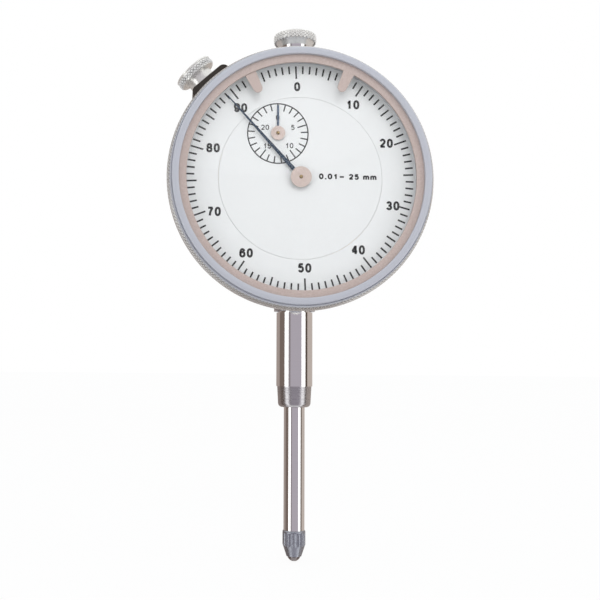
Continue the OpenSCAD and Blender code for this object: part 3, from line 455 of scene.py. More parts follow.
class Drawing:
    """A mesh that is being drawn in millimetres on one axis."""

    def __init__(self, seat: Seat) -> None:
        """Starts an empty drawing.

        Args:
            seat: Axis that it is drawn on.
        """
        self.seat = seat
        self.bm = bmesh.new()

    def lathe(self, profile: Sequence[Point], segments: int = 192) -> None:
        """Turns a closed outline of radius and height around the axis.

        Args:
            profile: Corners of the outline, in order.
            segments: Steps around the axis.
        """
        step = 2.0 * math.pi / segments
        turns = [(math.cos(i * step), math.sin(i * step)) for i in range(segments)]
        rings = []
        for radius, height in profile:
            around = [(0.0, 0.0)] if radius < 1e-6 else turns
            rings.append([self.bm.verts.new((radius * c, radius * s, height)) for c, s in around])
        for low, high in zip(rings, rings[1:] + rings[:1]):
            if len(low) == 1 and len(high) == 1:
                continue
            for i in range(segments):
                j = (i + 1) % segments
                corners = [low[i % len(low)], low[j % len(low)], high[j % len(high)], high[i % len(high)]]
                self.bm.faces.new(list(dict.fromkeys(corners)))

    def _skin(self, rings: Sequence[Sequence[bmesh.types.BMVert]], closed: bool = False) -> None:
        """Covers a row of rings that have the same number of corners.

        Args:
            rings: The rings, in order.
            closed: Whether the last ring joins the first. Otherwise both ends get a cap.
        """
        sides = len(rings[0])
        for here, there in zip(rings, [*rings[1:], rings[0]] if closed else rings[1:]):
            for k in range(sides):
                n = (k + 1) % sides
                self.bm.faces.new((here[k], here[n], there[n], there[k]))
        if not closed:
            self.bm.faces.new(rings[0])
            self.bm.faces.new(rings[-1])

    def stroke(self, path: Sequence[Point], half: float, low: float, high: float, closed: bool = False) -> None:
        """Lays a flat line of even width along a path.

        Args:
            path: Points that the middle of the line follows.
            half: Half the line's width.
            low: Height of its underside.
            high: Height of its face.
            closed: Whether the line joins its own start.
        """
        points = [Vector(p) for p in path]
        count = len(points)
        rings = []
        for i, point in enumerate(points):
            before = points[i - 1] if i or closed else None
            after = points[(i + 1) % count] if i < count - 1 or closed else None
            arrive = (point - before).normalized() if before is not None else (after - point).normalized()
            leave = (after - point).normalized() if after is not None else arrive
            along = (arrive + leave).normalized()
            across = Vector((-along.y, along.x))
            reach = half / max(0.5, across.dot(Vector((-arrive.y, arrive.x))))
            left, right = point + across * reach, point - across * reach
            corners = ((left, low), (right, low), (right, high), (left, high))
            rings.append([self.bm.verts.new((*side, level)) for side, level in corners])
        self._skin(rings, closed)

    def tube(self, path: Sequence[Vector], radius: float, sides: int) -> None:
        """Lays a round wire along a path without twist.

        Args:
            path: Points that the wire's middle follows.
            radius: Radius of the wire.
            sides: Faces around it.
        """
        count = len(path)
        step = 2.0 * math.pi / sides
        turns = [(math.cos(i * step), math.sin(i * step)) for i in range(sides)]
        across = Vector()
        rings = []
        for i, point in enumerate(path):
            along = (path[min(i + 1, count - 1)] - path[max(i - 1, 0)]).normalized()
            if i == 0:
                across = along.orthogonal().normalized()
            across = (across - across.dot(along) * along).normalized()
            third = along.cross(across)
            rings.append([self.bm.verts.new(point + radius * (c * across + s * third)) for c, s in turns])
        self._skin(rings)

    def prism(self, bottom: Sequence[Place], top: Sequence[Place]) -> None:
        """Joins two outlines with the same number of corners into a solid.

        Args:
            bottom: Corners of the lower outline.
            top: Corners of the upper outline.
        """
        self._skin([[self.bm.verts.new(corner) for corner in outline] for outline in (bottom, top)])

    def finish(self, name: str, smooth: float = 35.0) -> Mesh:
        """Closes the drawing and puts it into the frame.

        Args:
            name: Name of the mesh.
            smooth: Sharpest angle in degrees that is still shaded round, or 0 for flat faces.

        Returns:
            The finished mesh, in metres.
        """
        bmesh.ops.recalc_face_normals(self.bm, faces=self.bm.faces)
        mesh = bpy.data.meshes.new(name)
        self.bm.to_mesh(mesh)
        self.bm.free()
        mesh.transform(self.seat.placing)
        if smooth:
            mesh.shade_smooth()
            mesh.set_sharp_from_angle(angle=math.radians(smooth))
        return mesh


def arc(centre: Point, radii: Point, start: float, end: float, steps: int = 14) -> list[Point]:
    """Points along part of an ellipse.

    Args:
        centre: Middle of the ellipse.
        radii: Its half width and half height.
        start: First angle in degrees.
        end: Last angle in degrees.
        steps: Number of steps between them.

    Returns:
        The points, both ends among them.
    """
    angles = [math.radians(start + (end - start) * i / steps) for i in range(steps + 1)]
    return [(centre[0] + radii[0] * math.cos(a), centre[1] + radii[1] * math.sin(a)) for a in angles]


def loop(centre: Point, radii: Point, square: float = 2.3, steps: int = 32) -> list[Point]:
    """Points around a closed, slightly squared ellipse.

    Args:
        centre: Middle of the ellipse.
        radii: Its half width and half height.
        square: 2 for an ellipse, more for fuller corners.
        steps: Number of points.

    Returns:
        The points.
    """
    points = []
    for i in range(steps):
        c, s = math.cos(2 * math.pi * i / steps), math.sin(2 * math.pi * i / steps)
        x = math.copysign(abs(c) ** (2.0 / square), c)
        y = math.copysign(abs(s) ** (2.0 / square), s)
        points.append((centre[0] + radii[0] * x, centre[1] + radii[1] * y))
    return points


@dataclass(frozen=True)
class Glyph:
    """A figure or letter, drawn as lines in a box of one by one.

    Attributes:
        lines: Open lines of the figure.
        loops: Closed lines of the figure.
        width: Width of its box, as a share of a figure's.
    """

    lines: tuple[tuple[Point, ...], ...] = ()
    loops: tuple[tuple[Point, ...], ...] = ()
    width: float = 1.0


def make_glyphs() -> dict[str, Glyph]:
    """Draws the plain figures of the dial.

    Returns:
        The figures, by character.
    """
    end = 0.09
    hook = ((0.0, 0.34), (0.0, 0.54), (0.06, 0.76), (0.2, 0.93), (0.42, 1.0), (0.66, 0.98), (0.86, 0.88), (0.95, 0.74))
    six_loop = tuple(loop((0.5, 0.31), (0.5, 0.31)))
    turned = tuple((1.0 - x, 1.0 - y) for x, y in hook)
    nine_loop = tuple((1.0 - x, 1.0 - y) for x, y in six_loop)
    hump = ((0.0, 0.46), (0.07, 0.62), (0.2, 0.7), (0.33, 0.7), (0.45, 0.62), (0.5, 0.46), (0.5, -end))
    return {
        "0": Glyph(loops=(tuple(loop((0.5, 0.5), (0.5, 0.5))),)),
        "1": Glyph(
            lines=(((0.62, -end), (0.62, 1.0 + end)), ((0.1, 0.72), (0.36, 0.74), (0.54, 0.84), (0.62, 1.02))),
        ),
        "2": Glyph(
            lines=(
                tuple(arc((0.5, 0.71), (0.48, 0.29), 172, -28)) + ((0.72, 0.42), (0.4, 0.24), (0.12, 0.1), (0.02, 0.0)),
                ((-0.06, 0.0), (1.06, 0.0)),
            ),
        ),
        "3": Glyph(
            lines=(
                tuple(arc((0.48, 0.755), (0.43, 0.245), 168, -90)) + ((0.32, 0.51),),
                tuple(arc((0.48, 0.265), (0.5, 0.25), 95, -168)),
            ),
        ),
        "4": Glyph(
            lines=(
                ((0.74, -end), (0.74, 1.0 + end)),
                ((0.68, 1.02), (-0.02, 0.3)),
                ((-0.12, 0.26), (1.14, 0.26)),
            ),
        ),
        "5": Glyph(
            lines=(
                ((0.1, 1.0), (0.98, 1.0)),
                ((0.17, 1.06), (0.06, 0.5)),
                tuple(arc((0.47, 0.32), (0.5, 0.33), 146, -158)),
            ),
        ),
        "6": Glyph(lines=(hook,), loops=(six_loop,)),
        "7": Glyph(lines=(((-0.06, 1.0), (1.06, 1.0)), ((1.0, 1.0), (0.7, 0.68), (0.47, 0.34), (0.36, -end)))),
        "8": Glyph(loops=(tuple(loop((0.5, 0.755), (0.43, 0.245))), tuple(loop((0.5, 0.26), (0.5, 0.26))))),
        "9": Glyph(lines=(turned,), loops=(nine_loop,)),
        ",": Glyph(lines=(((0.55, 0.1), (0.55, -0.02), (0.3, -0.2)),), width=0.45),
        "-": Glyph(lines=(((0.0, 0.44), (1.0, 0.44)),), width=1.25),
        "m": Glyph(
            lines=(((0.0, -end), (0.0, 0.74)), hump, tuple((x + 0.5, y) for x, y in hump)),
            width=1.35,
        ),
        " ": Glyph(width=0.45),
    }


@dataclass(frozen=True)
class Lettering:
    """How a line of figures is set.

    Attributes:
        height: Height of a figure in millimetres.
        width: Width of a figure, as a share of its height.
        weight: Width of the line, as a share of its height.
        gap: Space between figures, as a share of their height.
    """

    height: float
    width: float = 0.63
    weight: float = 0.155
    gap: float = 0.12

    def write(self, drawing: Drawing, words: str, centre: Point, glyphs: dict[str, Glyph]) -> None:
        """Sets words on the dial's face.

        Args:
            drawing: Drawing that takes the figures.
            words: What is set.
            centre: Middle of the line of figures.
            glyphs: Figures by character.
        """
        high, half = self.height, self.height * self.weight / 2.0
        inner = high - 2.0 * half
        widths = [self.width * high * glyphs[c].width for c in words]
        total = sum(widths) + self.gap * high * (len(words) - 1)
        left = centre[0] - total / 2.0
        base = centre[1] - high / 2.0 + half
        for character, wide in zip(words, widths):
            glyph = glyphs[character]

            def put(points: Sequence[Point], at: float = left, box: float = wide) -> list[Point]:
                """Takes a line of the figure to its place."""
                return [(at + half + x * (box - 2.0 * half), base + y * inner) for x, y in points]

            for line in glyph.lines:
                drawing.stroke(put(line), half, DIAL_FACE, PRINT_FRONT)
            for line in glyph.loops:
                drawing.stroke(put(line), half, DIAL_FACE, PRINT_FRONT, closed=True)
            left += wide + self.gap * high


# Repeats


class PatternTree:
    """A geometry tree with named inputs, baked to a plain mesh."""

    name = "pattern"
    counts: tuple[str, ...] = ()
    lengths: tuple[str, ...] = ()

    def __init__(self) -> None:
        """Builds the tree and remembers its inputs' identifiers."""
        self.tree = bpy.data.node_groups.new(self.name, "GeometryNodeTree")
        kinds = {**dict.fromkeys(self.counts, "Int"), **dict.fromkeys(self.lengths, "Float"), "material": "Material"}
        self.keys: dict[str, str] = {}
        for label, kind in kinds.items():
            socket = self.tree.interface.new_socket(label, in_out="INPUT", socket_type="NodeSocket" + kind)
            self.keys[label] = socket.identifier
        self.tree.interface.new_socket("Geometry", in_out="OUTPUT", socket_type="NodeSocketGeometry")
        self.bench = NodeBench(self.tree)
        self.given = self.bench.add("NodeGroupInput").outputs
        solid = self.bench.add("GeometryNodeRealizeInstances", {"Geometry": self.lay_out()}).outputs["Geometry"]
        paint = self.bench.add("GeometryNodeSetMaterial", {"Geometry": solid, "Material": self.given["material"]})
        self.bench.add("NodeGroupOutput", {"Geometry": paint.outputs["Geometry"]})

    def lay_out(self) -> Socket:
        """Places the repeated shape and gives the instances."""
        raise NotImplementedError

    def values(self, labels: Sequence[str]) -> list[Socket]:
        """Gives the sockets of named inputs."""
        return [self.given[label] for label in labels]

    def place(self, points: Node, shape: Socket, turn: Node, size: Socket) -> Socket:
        """Puts a shape on each point.

        Args:
            points: Node that makes the points.
            shape: The shape.
            turn: Node that turns it.
            size: Its size.

        Returns:
            The instances.
        """
        inputs = {"Points": points.outputs[0], "Instance": shape, "Rotation": turn.outputs[0], "Scale": size}
        return self.bench.add("GeometryNodeInstanceOnPoints", inputs).outputs["Instances"]

    def bake(self, name: str, seat: Seat, material: bpy.types.Material, **sizes: float) -> Mesh:
        """Runs the tree with sizes and takes its result as a plain mesh.

        Args:
            name: Name of the mesh.
            seat: Axis that the pattern is drawn on.
            material: Material of the pattern.
            **sizes: Values of the inputs.

        Returns:
            The mesh in metres, in the frame.
        """
        carrier = bpy.data.objects.new(name + "_carrier", bpy.data.meshes.new(name + "_carrier"))
        bpy.context.scene.collection.objects.link(carrier)
        modifier = carrier.modifiers.new(self.name, "NODES")
        modifier.node_group = self.tree
        for label, value in {**sizes, "material": material}.items():
            modifier[self.keys[label]] = value
        bpy.context.view_layer.update()
        evaluated = carrier.evaluated_get(bpy.context.evaluated_depsgraph_get())
        mesh = bpy.data.meshes.new_from_object(evaluated)
        mesh.name = name
        carrier.modifiers.remove(modifier)
        bpy.data.objects.remove(carrier)
        mesh.transform(seat.placing)
        return mesh


class KnurlTree(PatternTree):
    """Diamond knurl: rows of small pyramids around a band, each second row half a step on."""

    name = "knurl_band"
    counts = ("count", "rows")
    lengths = ("radius", "front_crown", "back_crown", "start", "half_length", "height")

    def lay_out(self) -> Socket:
        """Places the pyramids and marks how high each corner lies between foot and top, for the painted shade at the
        foot.

        Returns:
            The instances.
        """
        bench, calc = self.bench, self.bench.math
        count, rows = self.values(self.counts)
        radius, front_crown, back_crown, start, half_length, height = self.values(self.lengths)
        index = bench.add("GeometryNodeInputIndex").outputs[0]
        row = calc("FLOOR", calc("DIVIDE", index, count))
        shift = calc("MULTIPLY", calc("MODULO", row, 2.0), 0.5)
        step = calc("DIVIDE", 2.0 * math.pi, count)
        angle = calc("MULTIPLY", calc("ADD", calc("MODULO", index, count), shift), step)
        middle = calc("DIVIDE", calc("SUBTRACT", rows, 1.0), 2.0)
        across = calc("DIVIDE", calc("SUBTRACT", row, middle), middle)
        slope = calc("MULTIPLY", calc("MINIMUM", across, 0.0), back_crown)
        slope = calc("MULTIPLY_ADD", calc("MAXIMUM", across, 0.0), front_crown, slope)
        here = calc("SUBTRACT", radius, calc("MULTIPLY", across, slope))
        c, s = calc("COSINE", angle), calc("SINE", angle)
        z = calc("MULTIPLY_ADD", row, half_length, start)
        position = bench.vector(calc("MULTIPLY", here, c), calc("MULTIPLY", here, s), z)
        points = bench.add("GeometryNodePoints", {"Count": calc("MULTIPLY", count, rows), "Position": position})
        turn = bench.add(
            "FunctionNodeAxesToRotation",
            {0: bench.vector(c, s, calc("MULTIPLY", slope, KNURL_LEAN)), 1: (0.0, 0.0, 1.0)},
            primary_axis="Z",
            secondary_axis="X",
        )
        shape = {"Vertices": 4, "Radius Top": KNURL_TOP, "Radius Bottom": 1.0, "Depth": 1.0}
        pyramid = bench.add("GeometryNodeMeshCone", shape, fill_type="NGON").outputs["Mesh"]
        rise = bench.split(bench.add("GeometryNodeInputPosition").outputs[0])[2]
        marked = bench.add("GeometryNodeStoreNamedAttribute", data_type="FLOAT", domain="POINT")
        bench.feed(marked, {"Geometry": pyramid, "Name": KNURL_RISE, "Value": rise})
        half_width = calc("MULTIPLY", calc("MULTIPLY", radius, step), 0.5)
        return self.place(points, marked.outputs["Geometry"], turn, bench.vector(half_length, half_width, height))


class TickTree(PatternTree):
    """Graduation: printed strokes around a dial, longer at each mid and major step."""

    name = "tick_ring"
    counts = ("count", "mid_step", "major_step")
    lengths = ("turn", "radius", "minor", "mid", "major", "width")

    def lay_out(self) -> Socket:
        """Places the strokes.

        Returns:
            The instances.
        """
        bench, calc = self.bench, self.bench.math
        count, mid_step, major_step = self.values(self.counts)
        turn, radius, minor, mid, major, width = self.values(self.lengths)
        index = bench.add("GeometryNodeInputIndex").outputs[0]
        angle = calc("MULTIPLY_ADD", index, calc("DIVIDE", 2.0 * math.pi, count), turn)
        on_mid = calc("COMPARE", calc("MODULO", index, mid_step), 0.0, 0.1)
        on_major = calc("COMPARE", calc("MODULO", index, major_step), 0.0, 0.1)
        length = calc("MULTIPLY_ADD", on_mid, calc("SUBTRACT", mid, minor), minor)
        length = calc("MULTIPLY_ADD", on_major, calc("SUBTRACT", major, mid), length)
        reach = calc("SUBTRACT", radius, calc("MULTIPLY", length, 0.5))
        x, y = (calc("MULTIPLY", reach, calc(side, angle)) for side in ("SINE", "COSINE"))
        position = bench.vector(x, y, DIAL_FACE + PRINT_HEIGHT / 2.0)
        points = bench.add("GeometryNodePoints", {"Count": count, "Position": position})
        lean = bench.add("FunctionNodeEulerToRotation", {0: bench.vector(0.0, 0.0, calc("MULTIPLY", angle, -1.0))})
        stroke = bench.add("GeometryNodeMeshCube").outputs["Mesh"]
        return self.place(points, stroke, lean, bench.vector(width, length, PRINT_HEIGHT))


# Pieces


class Fitter:
    """Hangs finished meshes on the frame as pieces."""

    def __init__(self, shop: MaterialShop) -> None:
        """Keeps the materials at hand.

        Args:
            shop: Where materials come from.
        """
        self.shop = shop
        self.knurls = KnurlTree()
        self.ticks = TickTree()
        self.glyphs = make_glyphs()

    def fit(self, mesh: Mesh, finish: Finish, body: str | None, *nodes: str) -> bpy.types.Object:
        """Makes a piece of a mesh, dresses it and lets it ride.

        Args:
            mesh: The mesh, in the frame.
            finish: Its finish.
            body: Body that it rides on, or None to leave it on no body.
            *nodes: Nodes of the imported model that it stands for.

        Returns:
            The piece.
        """
        piece = bpy.data.objects.new(mesh.name, mesh)
        bpy.context.scene.collection.objects.link(piece)
        mesh.materials.clear()
        mesh.materials.append(self.shop.material(finish))
        if nodes:
            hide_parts(*nodes)
        if body is not None:
            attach(piece, body)
        LOG.info("%s: %d faces", piece.name, len(mesh.polygons))
        return piece

    def repeat(self, tree: PatternTree, name: str, seat: Seat, finish: Finish, body: str, **sizes: float) -> None:
        """Bakes a repeated shape and makes a piece of it.

        Args:
            tree: Tree that repeats the shape.
            name: Name of the piece.
            seat: Axis that it is drawn on.
            finish: Its finish.
            body: Body that it rides on.
            **sizes: Values of the tree's inputs.
        """
        self.fit(tree.bake(name, seat, self.shop.material(finish), **sizes), finish, body)

    def knurl(self, name: str, seat: Seat, finish: Finish, body: str, band: Point, rows: int, **sizes: float) -> None:
        """Lays a knurl on a band.

        Args:
            name: Name of the piece.
            seat: Axis that it is drawn on.
            finish: Its finish.
            body: Body that it rides on.
            band: Start and end of the band.
            rows: Rows of pyramids.
            **sizes: Other sizes of the knurl.
        """
        half_length = (band[1] - band[0]) / (rows + 1)
        sizes.update(rows=rows, start=band[0] + half_length, half_length=half_length)
        self.repeat(self.knurls, name, seat, finish, body, **sizes)


@dataclass
class BezelRim:
    """Turning bezel: satin lip, groove and knurled rim."""

    bore_r: float = 27.2
    skirt_r: float = 28.1
    rim_r: float = 28.7
    lip_r: float = 27.65
    window_r: float = 26.2
    skirt_back: float = 4.65
    rim_back: float = 7.05
    lip_foot: float = 12.35
    lip_back: float = 12.45
    lip_front: float = 13.25
    snap_r: float = 27.1
    snap_depth: float = 5.85
    snap_half: float = 0.55
    edge: float = 0.3
    groove: float = 0.25
    knurl_count: int = 230
    knurl_rows: int = 7
    knurl_height: float = 0.26
    knurl_end: float = 11.9
    knurl_proud: float = 0.12
    knurl_sink: float = 0.01
    front_crown: float = 0.36
    back_crown: float = 0.1
    shoulder: float = 9.9

    def profile(self) -> list[Point]:
        """Outline of the bezel's wall in radius and depth.

        Returns:
            The corners, in order.
        """
        e, root = self.edge, self.rim_r + self.knurl_proud - self.knurl_height
        opening = math.degrees(math.acos((self.bore_r - self.snap_r) / self.snap_half))
        groove = arc((self.snap_r, self.snap_depth), (self.snap_half, self.snap_half), opening, -opening, 8)
        rounded = arc((self.lip_r - 0.2, self.lip_front - 0.2), (0.2, 0.2), 0, 90, 4)
        inner = arc((self.window_r + e / 2, self.lip_front - e / 2), (e / 2, e / 2), 90, 180, 4)
        return [
            (self.bore_r, self.skirt_back),
            (self.skirt_r - e / 2, self.skirt_back),
            (self.skirt_r, self.skirt_back + e / 2),
            (self.skirt_r, self.rim_back - e),
            (root - e / 2, self.rim_back),
            (root, self.rim_back + e),
            (root, self.shoulder),
            (self.lip_r + 1.4 * e, self.lip_foot - e),
            (self.lip_r + e, self.lip_foot),
            (self.lip_r + 0.7 * e, self.lip_foot),
            (self.lip_r + 0.6 * e, self.lip_foot - self.groove),
            (self.lip_r, self.lip_foot - self.groove),
            *rounded,
            *inner,
            (self.window_r, self.lip_back),
            (self.bore_r, self.lip_back),
            *groove,
        ]

    def build(self, fitter: Fitter) -> None:
        """Makes the bezel's shell and its knurl.

        Args:
            fitter: Hangs the pieces on the frame.
        """
        shell = Drawing(Seat.DIAL)
        shell.lathe(self.profile(), 288)
        fitter.fit(shell.finish("bezel_shell"), LIP_CHROME, "bezel", "bezel")
        fitter.knurl(
            "bezel_knurl",
            Seat.DIAL,
            KNURL_NICKEL,
            "bezel",
            (self.rim_back + self.edge, self.knurl_end),
            self.knurl_rows,
            count=self.knurl_count,
            radius=self.rim_r + self.knurl_proud - self.knurl_height - self.knurl_sink,
            front_crown=self.front_crown,
            back_crown=self.back_crown,
            height=self.knurl_height,
        )


@dataclass
class DialScale:
    """Main graduation and its numbers, printed on the ring that turns with the bezel."""

    radius: float = 24.6
    minor: float = 1.7
    mid: float = 2.2
    major: float = 2.8
    width: float = 0.36
    turn: float = -2.52
    lettering: Lettering = field(default_factory=lambda: Lettering(2.02, 0.66, 0.235))
    numbers: tuple[tuple[str, float, float], ...] = (
        ("0", -0.77, 20.06),
        ("10", 11.38, 16.34),
        ("20", 18.70, 7.96),
        ("30", 20.04, -5.76),
        ("40", 12.49, -15.46),
        ("50", 0.93, -19.52),
        ("60", -11.64, -16.47),
        ("70", -18.57, -7.63),
        ("80", -18.92, 6.19),
        ("90", -13.05, 15.12),
    )

    def build(self, fitter: Fitter) -> None:
        """Prints the strokes and the numbers.

        Args:
            fitter: Hangs the pieces on the frame.
        """
        strokes = {label: getattr(self, label) for label in ("radius", "minor", "mid", "major", "width")}
        strokes.update(count=100, mid_step=5, major_step=10, turn=math.radians(self.turn))
        fitter.repeat(fitter.ticks, "main_scale_strokes", Seat.DIAL, PRINT_INK, "bezel", **strokes)
        figures = Drawing(Seat.DIAL)
        for words, x, y in self.numbers:
            self.lettering.write(figures, words, (x, y), fitter.glyphs)
        fitter.fit(figures.finish("main_scale_numbers", 0.0), PRINT_INK, "bezel")


@dataclass
class TurnCounter:
    """Small scale of the turn counter and the range words, printed on the fixed dial."""

    radius: float = 6.55
    line: float = 0.26
    minor: float = 1.54
    major: float = 2.1
    width: float = 0.27
    lettering: Lettering = field(default_factory=lambda: Lettering(1.15, 0.68, 0.17, 0.14))
    numbers: tuple[tuple[str, float, float], ...] = (
        ("0", -0.05, 3.50),
        ("5", 3.25, 1.39),
        ("10", 2.50, -2.63),
        ("15", -2.31, -2.79),
        ("20", -2.77, 1.29),
    )
    range_words: str = "0,01- 25 mm"
    range_at: Point = (10.26, 0.41)
    range_lettering: Lettering = field(default_factory=lambda: Lettering(1.26, 0.80, 0.27, 0.17))

    def build(self, fitter: Fitter) -> None:
        """Prints the circle, its strokes, its numbers and the range words.

        Args:
            fitter: Hangs the pieces on the frame.
        """
        ring = Drawing(Seat.COUNTER)
        inner, outer = self.radius - self.line / 2, self.radius + self.line / 2
        ring.lathe([(inner, DIAL_FACE), (outer, DIAL_FACE), (outer, PRINT_FRONT), (inner, PRINT_FRONT)], 128)
        fitter.fit(ring.finish("counter_circle"), PRINT_INK, "case")
        strokes = {label: getattr(self, label) for label in ("radius", "minor", "major", "width")}
        strokes.update(count=25, mid_step=5, major_step=5, turn=0.0, mid=self.major)
        fitter.repeat(fitter.ticks, "counter_strokes", Seat.COUNTER, PRINT_INK, "case", **strokes)
        figures = Drawing(Seat.COUNTER)
        for words, x, y in self.numbers:
            self.lettering.write(figures, words, (x, y), fitter.glyphs)
        fitter.fit(figures.finish("counter_numbers", 0.0), PRINT_INK, "case")
        words = Drawing(Seat.DIAL)
        self.range_lettering.write(words, self.range_words, self.range_at, fitter.glyphs)
        fitter.fit(words.finish("range_words", 0.0), PRINT_INK, "case")


@dataclass
class Pointers:
    """Main pointer with its ridge, and the brass pivot ends in both hubs."""

    length: float = 23.6
    base_width: float = 0.95
    tip_width: float = 0.22
    angle: float = 42.2
    low: float = 10.05
    thickness: float = 0.15
    eye_r: float = 1.8
    arbor_r: float = 0.36
    foot_gap: float = 0.2
    side: float = 0.04
    tip_drop: float = 0.05
    hub_front: float = 10.5
    counter_hub_front: float = 9.85
    pivot_r: float = 0.42
    pivot_sink: float = 0.04
    pivot_land: float = 0.02
    pivot_dome: float = 0.16

    def build(self, fitter: Fitter) -> None:
        """Makes the pointer's blade and the pivot ends.

        Args:
            fitter: Hangs the pieces on the frame.
        """
        blade = Drawing(Seat.DIAL)
        turn = Matrix.Rotation(math.radians(self.angle), 4, "Z")
        high = self.low + self.thickness
        foot = self.arbor_r + self.foot_gap

        def section(half: float, y: float, ridge: float) -> list[Place]:
            """Outline across the blade, turned to the pointer's resting angle."""
            side = self.low + self.side
            flat = [(-half, self.low), (half, self.low), (half, side), (0.0, ridge), (-half, side)]
            return [tuple(turn @ Vector((x, y, z))) for x, z in flat]

        tip = section(self.tip_width / 2, self.length, high - self.tip_drop)
        blade.prism(section(self.base_width / 2, foot, high), tip)
        blade.lathe([(self.arbor_r, self.low), (self.eye_r, self.low), (self.eye_r, high), (self.arbor_r, high)], 64)
        fitter.fit(blade.finish("main_pointer_blade", 20.0), BLUED_STEEL, "centre_gear", "main_pointer")
        for name, seat, front, body in (
            ("main_pivot_end", Seat.DIAL, self.hub_front, "centre_gear"),
            ("counter_pivot_end", Seat.COUNTER, self.counter_hub_front, "counter_gear"),
        ):
            pivot = Drawing(seat)
            land, back = front + self.pivot_land, front - self.pivot_sink
            dome = arc((0.0, land), (self.pivot_r, self.pivot_dome), 0, 90, 5)[:-1]
            pivot.lathe([(0.0, back), (self.pivot_r, back), *dome, (0.0, land + self.pivot_dome)], 48)
            fitter.fit(pivot.finish(name), PIVOT_BRASS, body)


@dataclass
class KnurledHead:
    """Round knurled head: the lifting knob and the clamp screw have one each.

    Attributes:
        name: Name of the pieces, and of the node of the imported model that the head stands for.
        body: Body that it rides on.
        seat: Axis that it is turned on.
        outline: Corners of the shell in radius and height, from the axis at the foot to the top.
        radius: Radius over the knurl's tips.
        low: Start of the knurled band.
        high: End of the knurled band.
        count: Pyramids around the band.
        rows: Rows of pyramids.
        finish: Finish of the knurl.
        crown: How far the band falls off at its edges.
        height: Height of a pyramid.
    """

    name: str
    body: str
    seat: Seat
    outline: list[Point]
    radius: float
    low: float
    high: float
    count: int
    rows: int
    finish: Finish
    crown: float = 0.06
    height: float = 0.28

    def build(self, fitter: Fitter) -> None:
        """Makes the head's shell and its knurl.

        Args:
            fitter: Hangs the pieces on the frame.
        """
        shell = Drawing(self.seat)
        shell.lathe(self.outline, 128)
        fitter.fit(shell.finish(self.name + "_shell"), HEAD_NICKEL, self.body, self.name)
        fitter.knurl(
            self.name + "_knurl",
            self.seat,
            self.finish,
            self.body,
            (self.low, self.high),
            self.rows,
            count=self.count,
            radius=self.radius - self.height,
            front_crown=self.crown,
            back_crown=self.crown,
            height=self.height,
        )


def make_lifting_knob() -> KnurledHead:
    """Sizes of the lifting knob on the plunger's top.

    Returns:
        The knob, ready to build.
    """
    seat, top, r = 68.7, 72.2, 4.85
    dome = arc((0.0, top - 0.62), (r - 0.45, 0.62), 8, 90, 8)[:-1]
    thread = [(0.0, seat + 2.5), (1.26, seat + 2.5), (1.26, seat)]
    outline = [
        *thread,
        (3.45, seat),
        (r - 0.75, seat + 0.95),
        (r - 0.45, seat + 1.2),
        (r - 0.26, seat + 1.55),
        (r - 0.26, top - 1.0),
        (r - 0.42, top - 0.66),
        *dome,
        (0.0, top),
    ]
    return KnurledHead(
        "lifting_knob", "spindle", Seat.PLUNGER, outline, r, seat + 0.95, top - 0.5, 31, 5, KNOB_KNURL
    )


def make_clamp_head() -> KnurledHead:
    """Sizes of the clamp screw with its knurled head.

    Returns:
        The screw, ready to build.
    """
    low, neck, head, top, r = 24.4, 30.65, 33.35, 35.55, 4.7
    dome = arc((0.0, top - 0.3), (r - 0.12, 0.3), 10, 90, 8)[:-1]
    outline = [
        (0.0, low),
        (1.3, low),
        (1.5, low + 0.25),
        (1.5, neck),
        (3.1, neck),
        (3.1, head),
        (r - 0.4, head),
        (r - 0.27, head + 0.13),
        (r - 0.27, top - 0.62),
        (r - 0.05, top - 0.55),
        (r - 0.05, top - 0.38),
        *dome,
        (0.0, top),
    ]
    return KnurledHead(
        "clamp_screw", "clamp_screw", Seat.CLAMP, outline, r, head + 0.05, top - 0.55, 32, 3, CLAMP_KNURL
    )


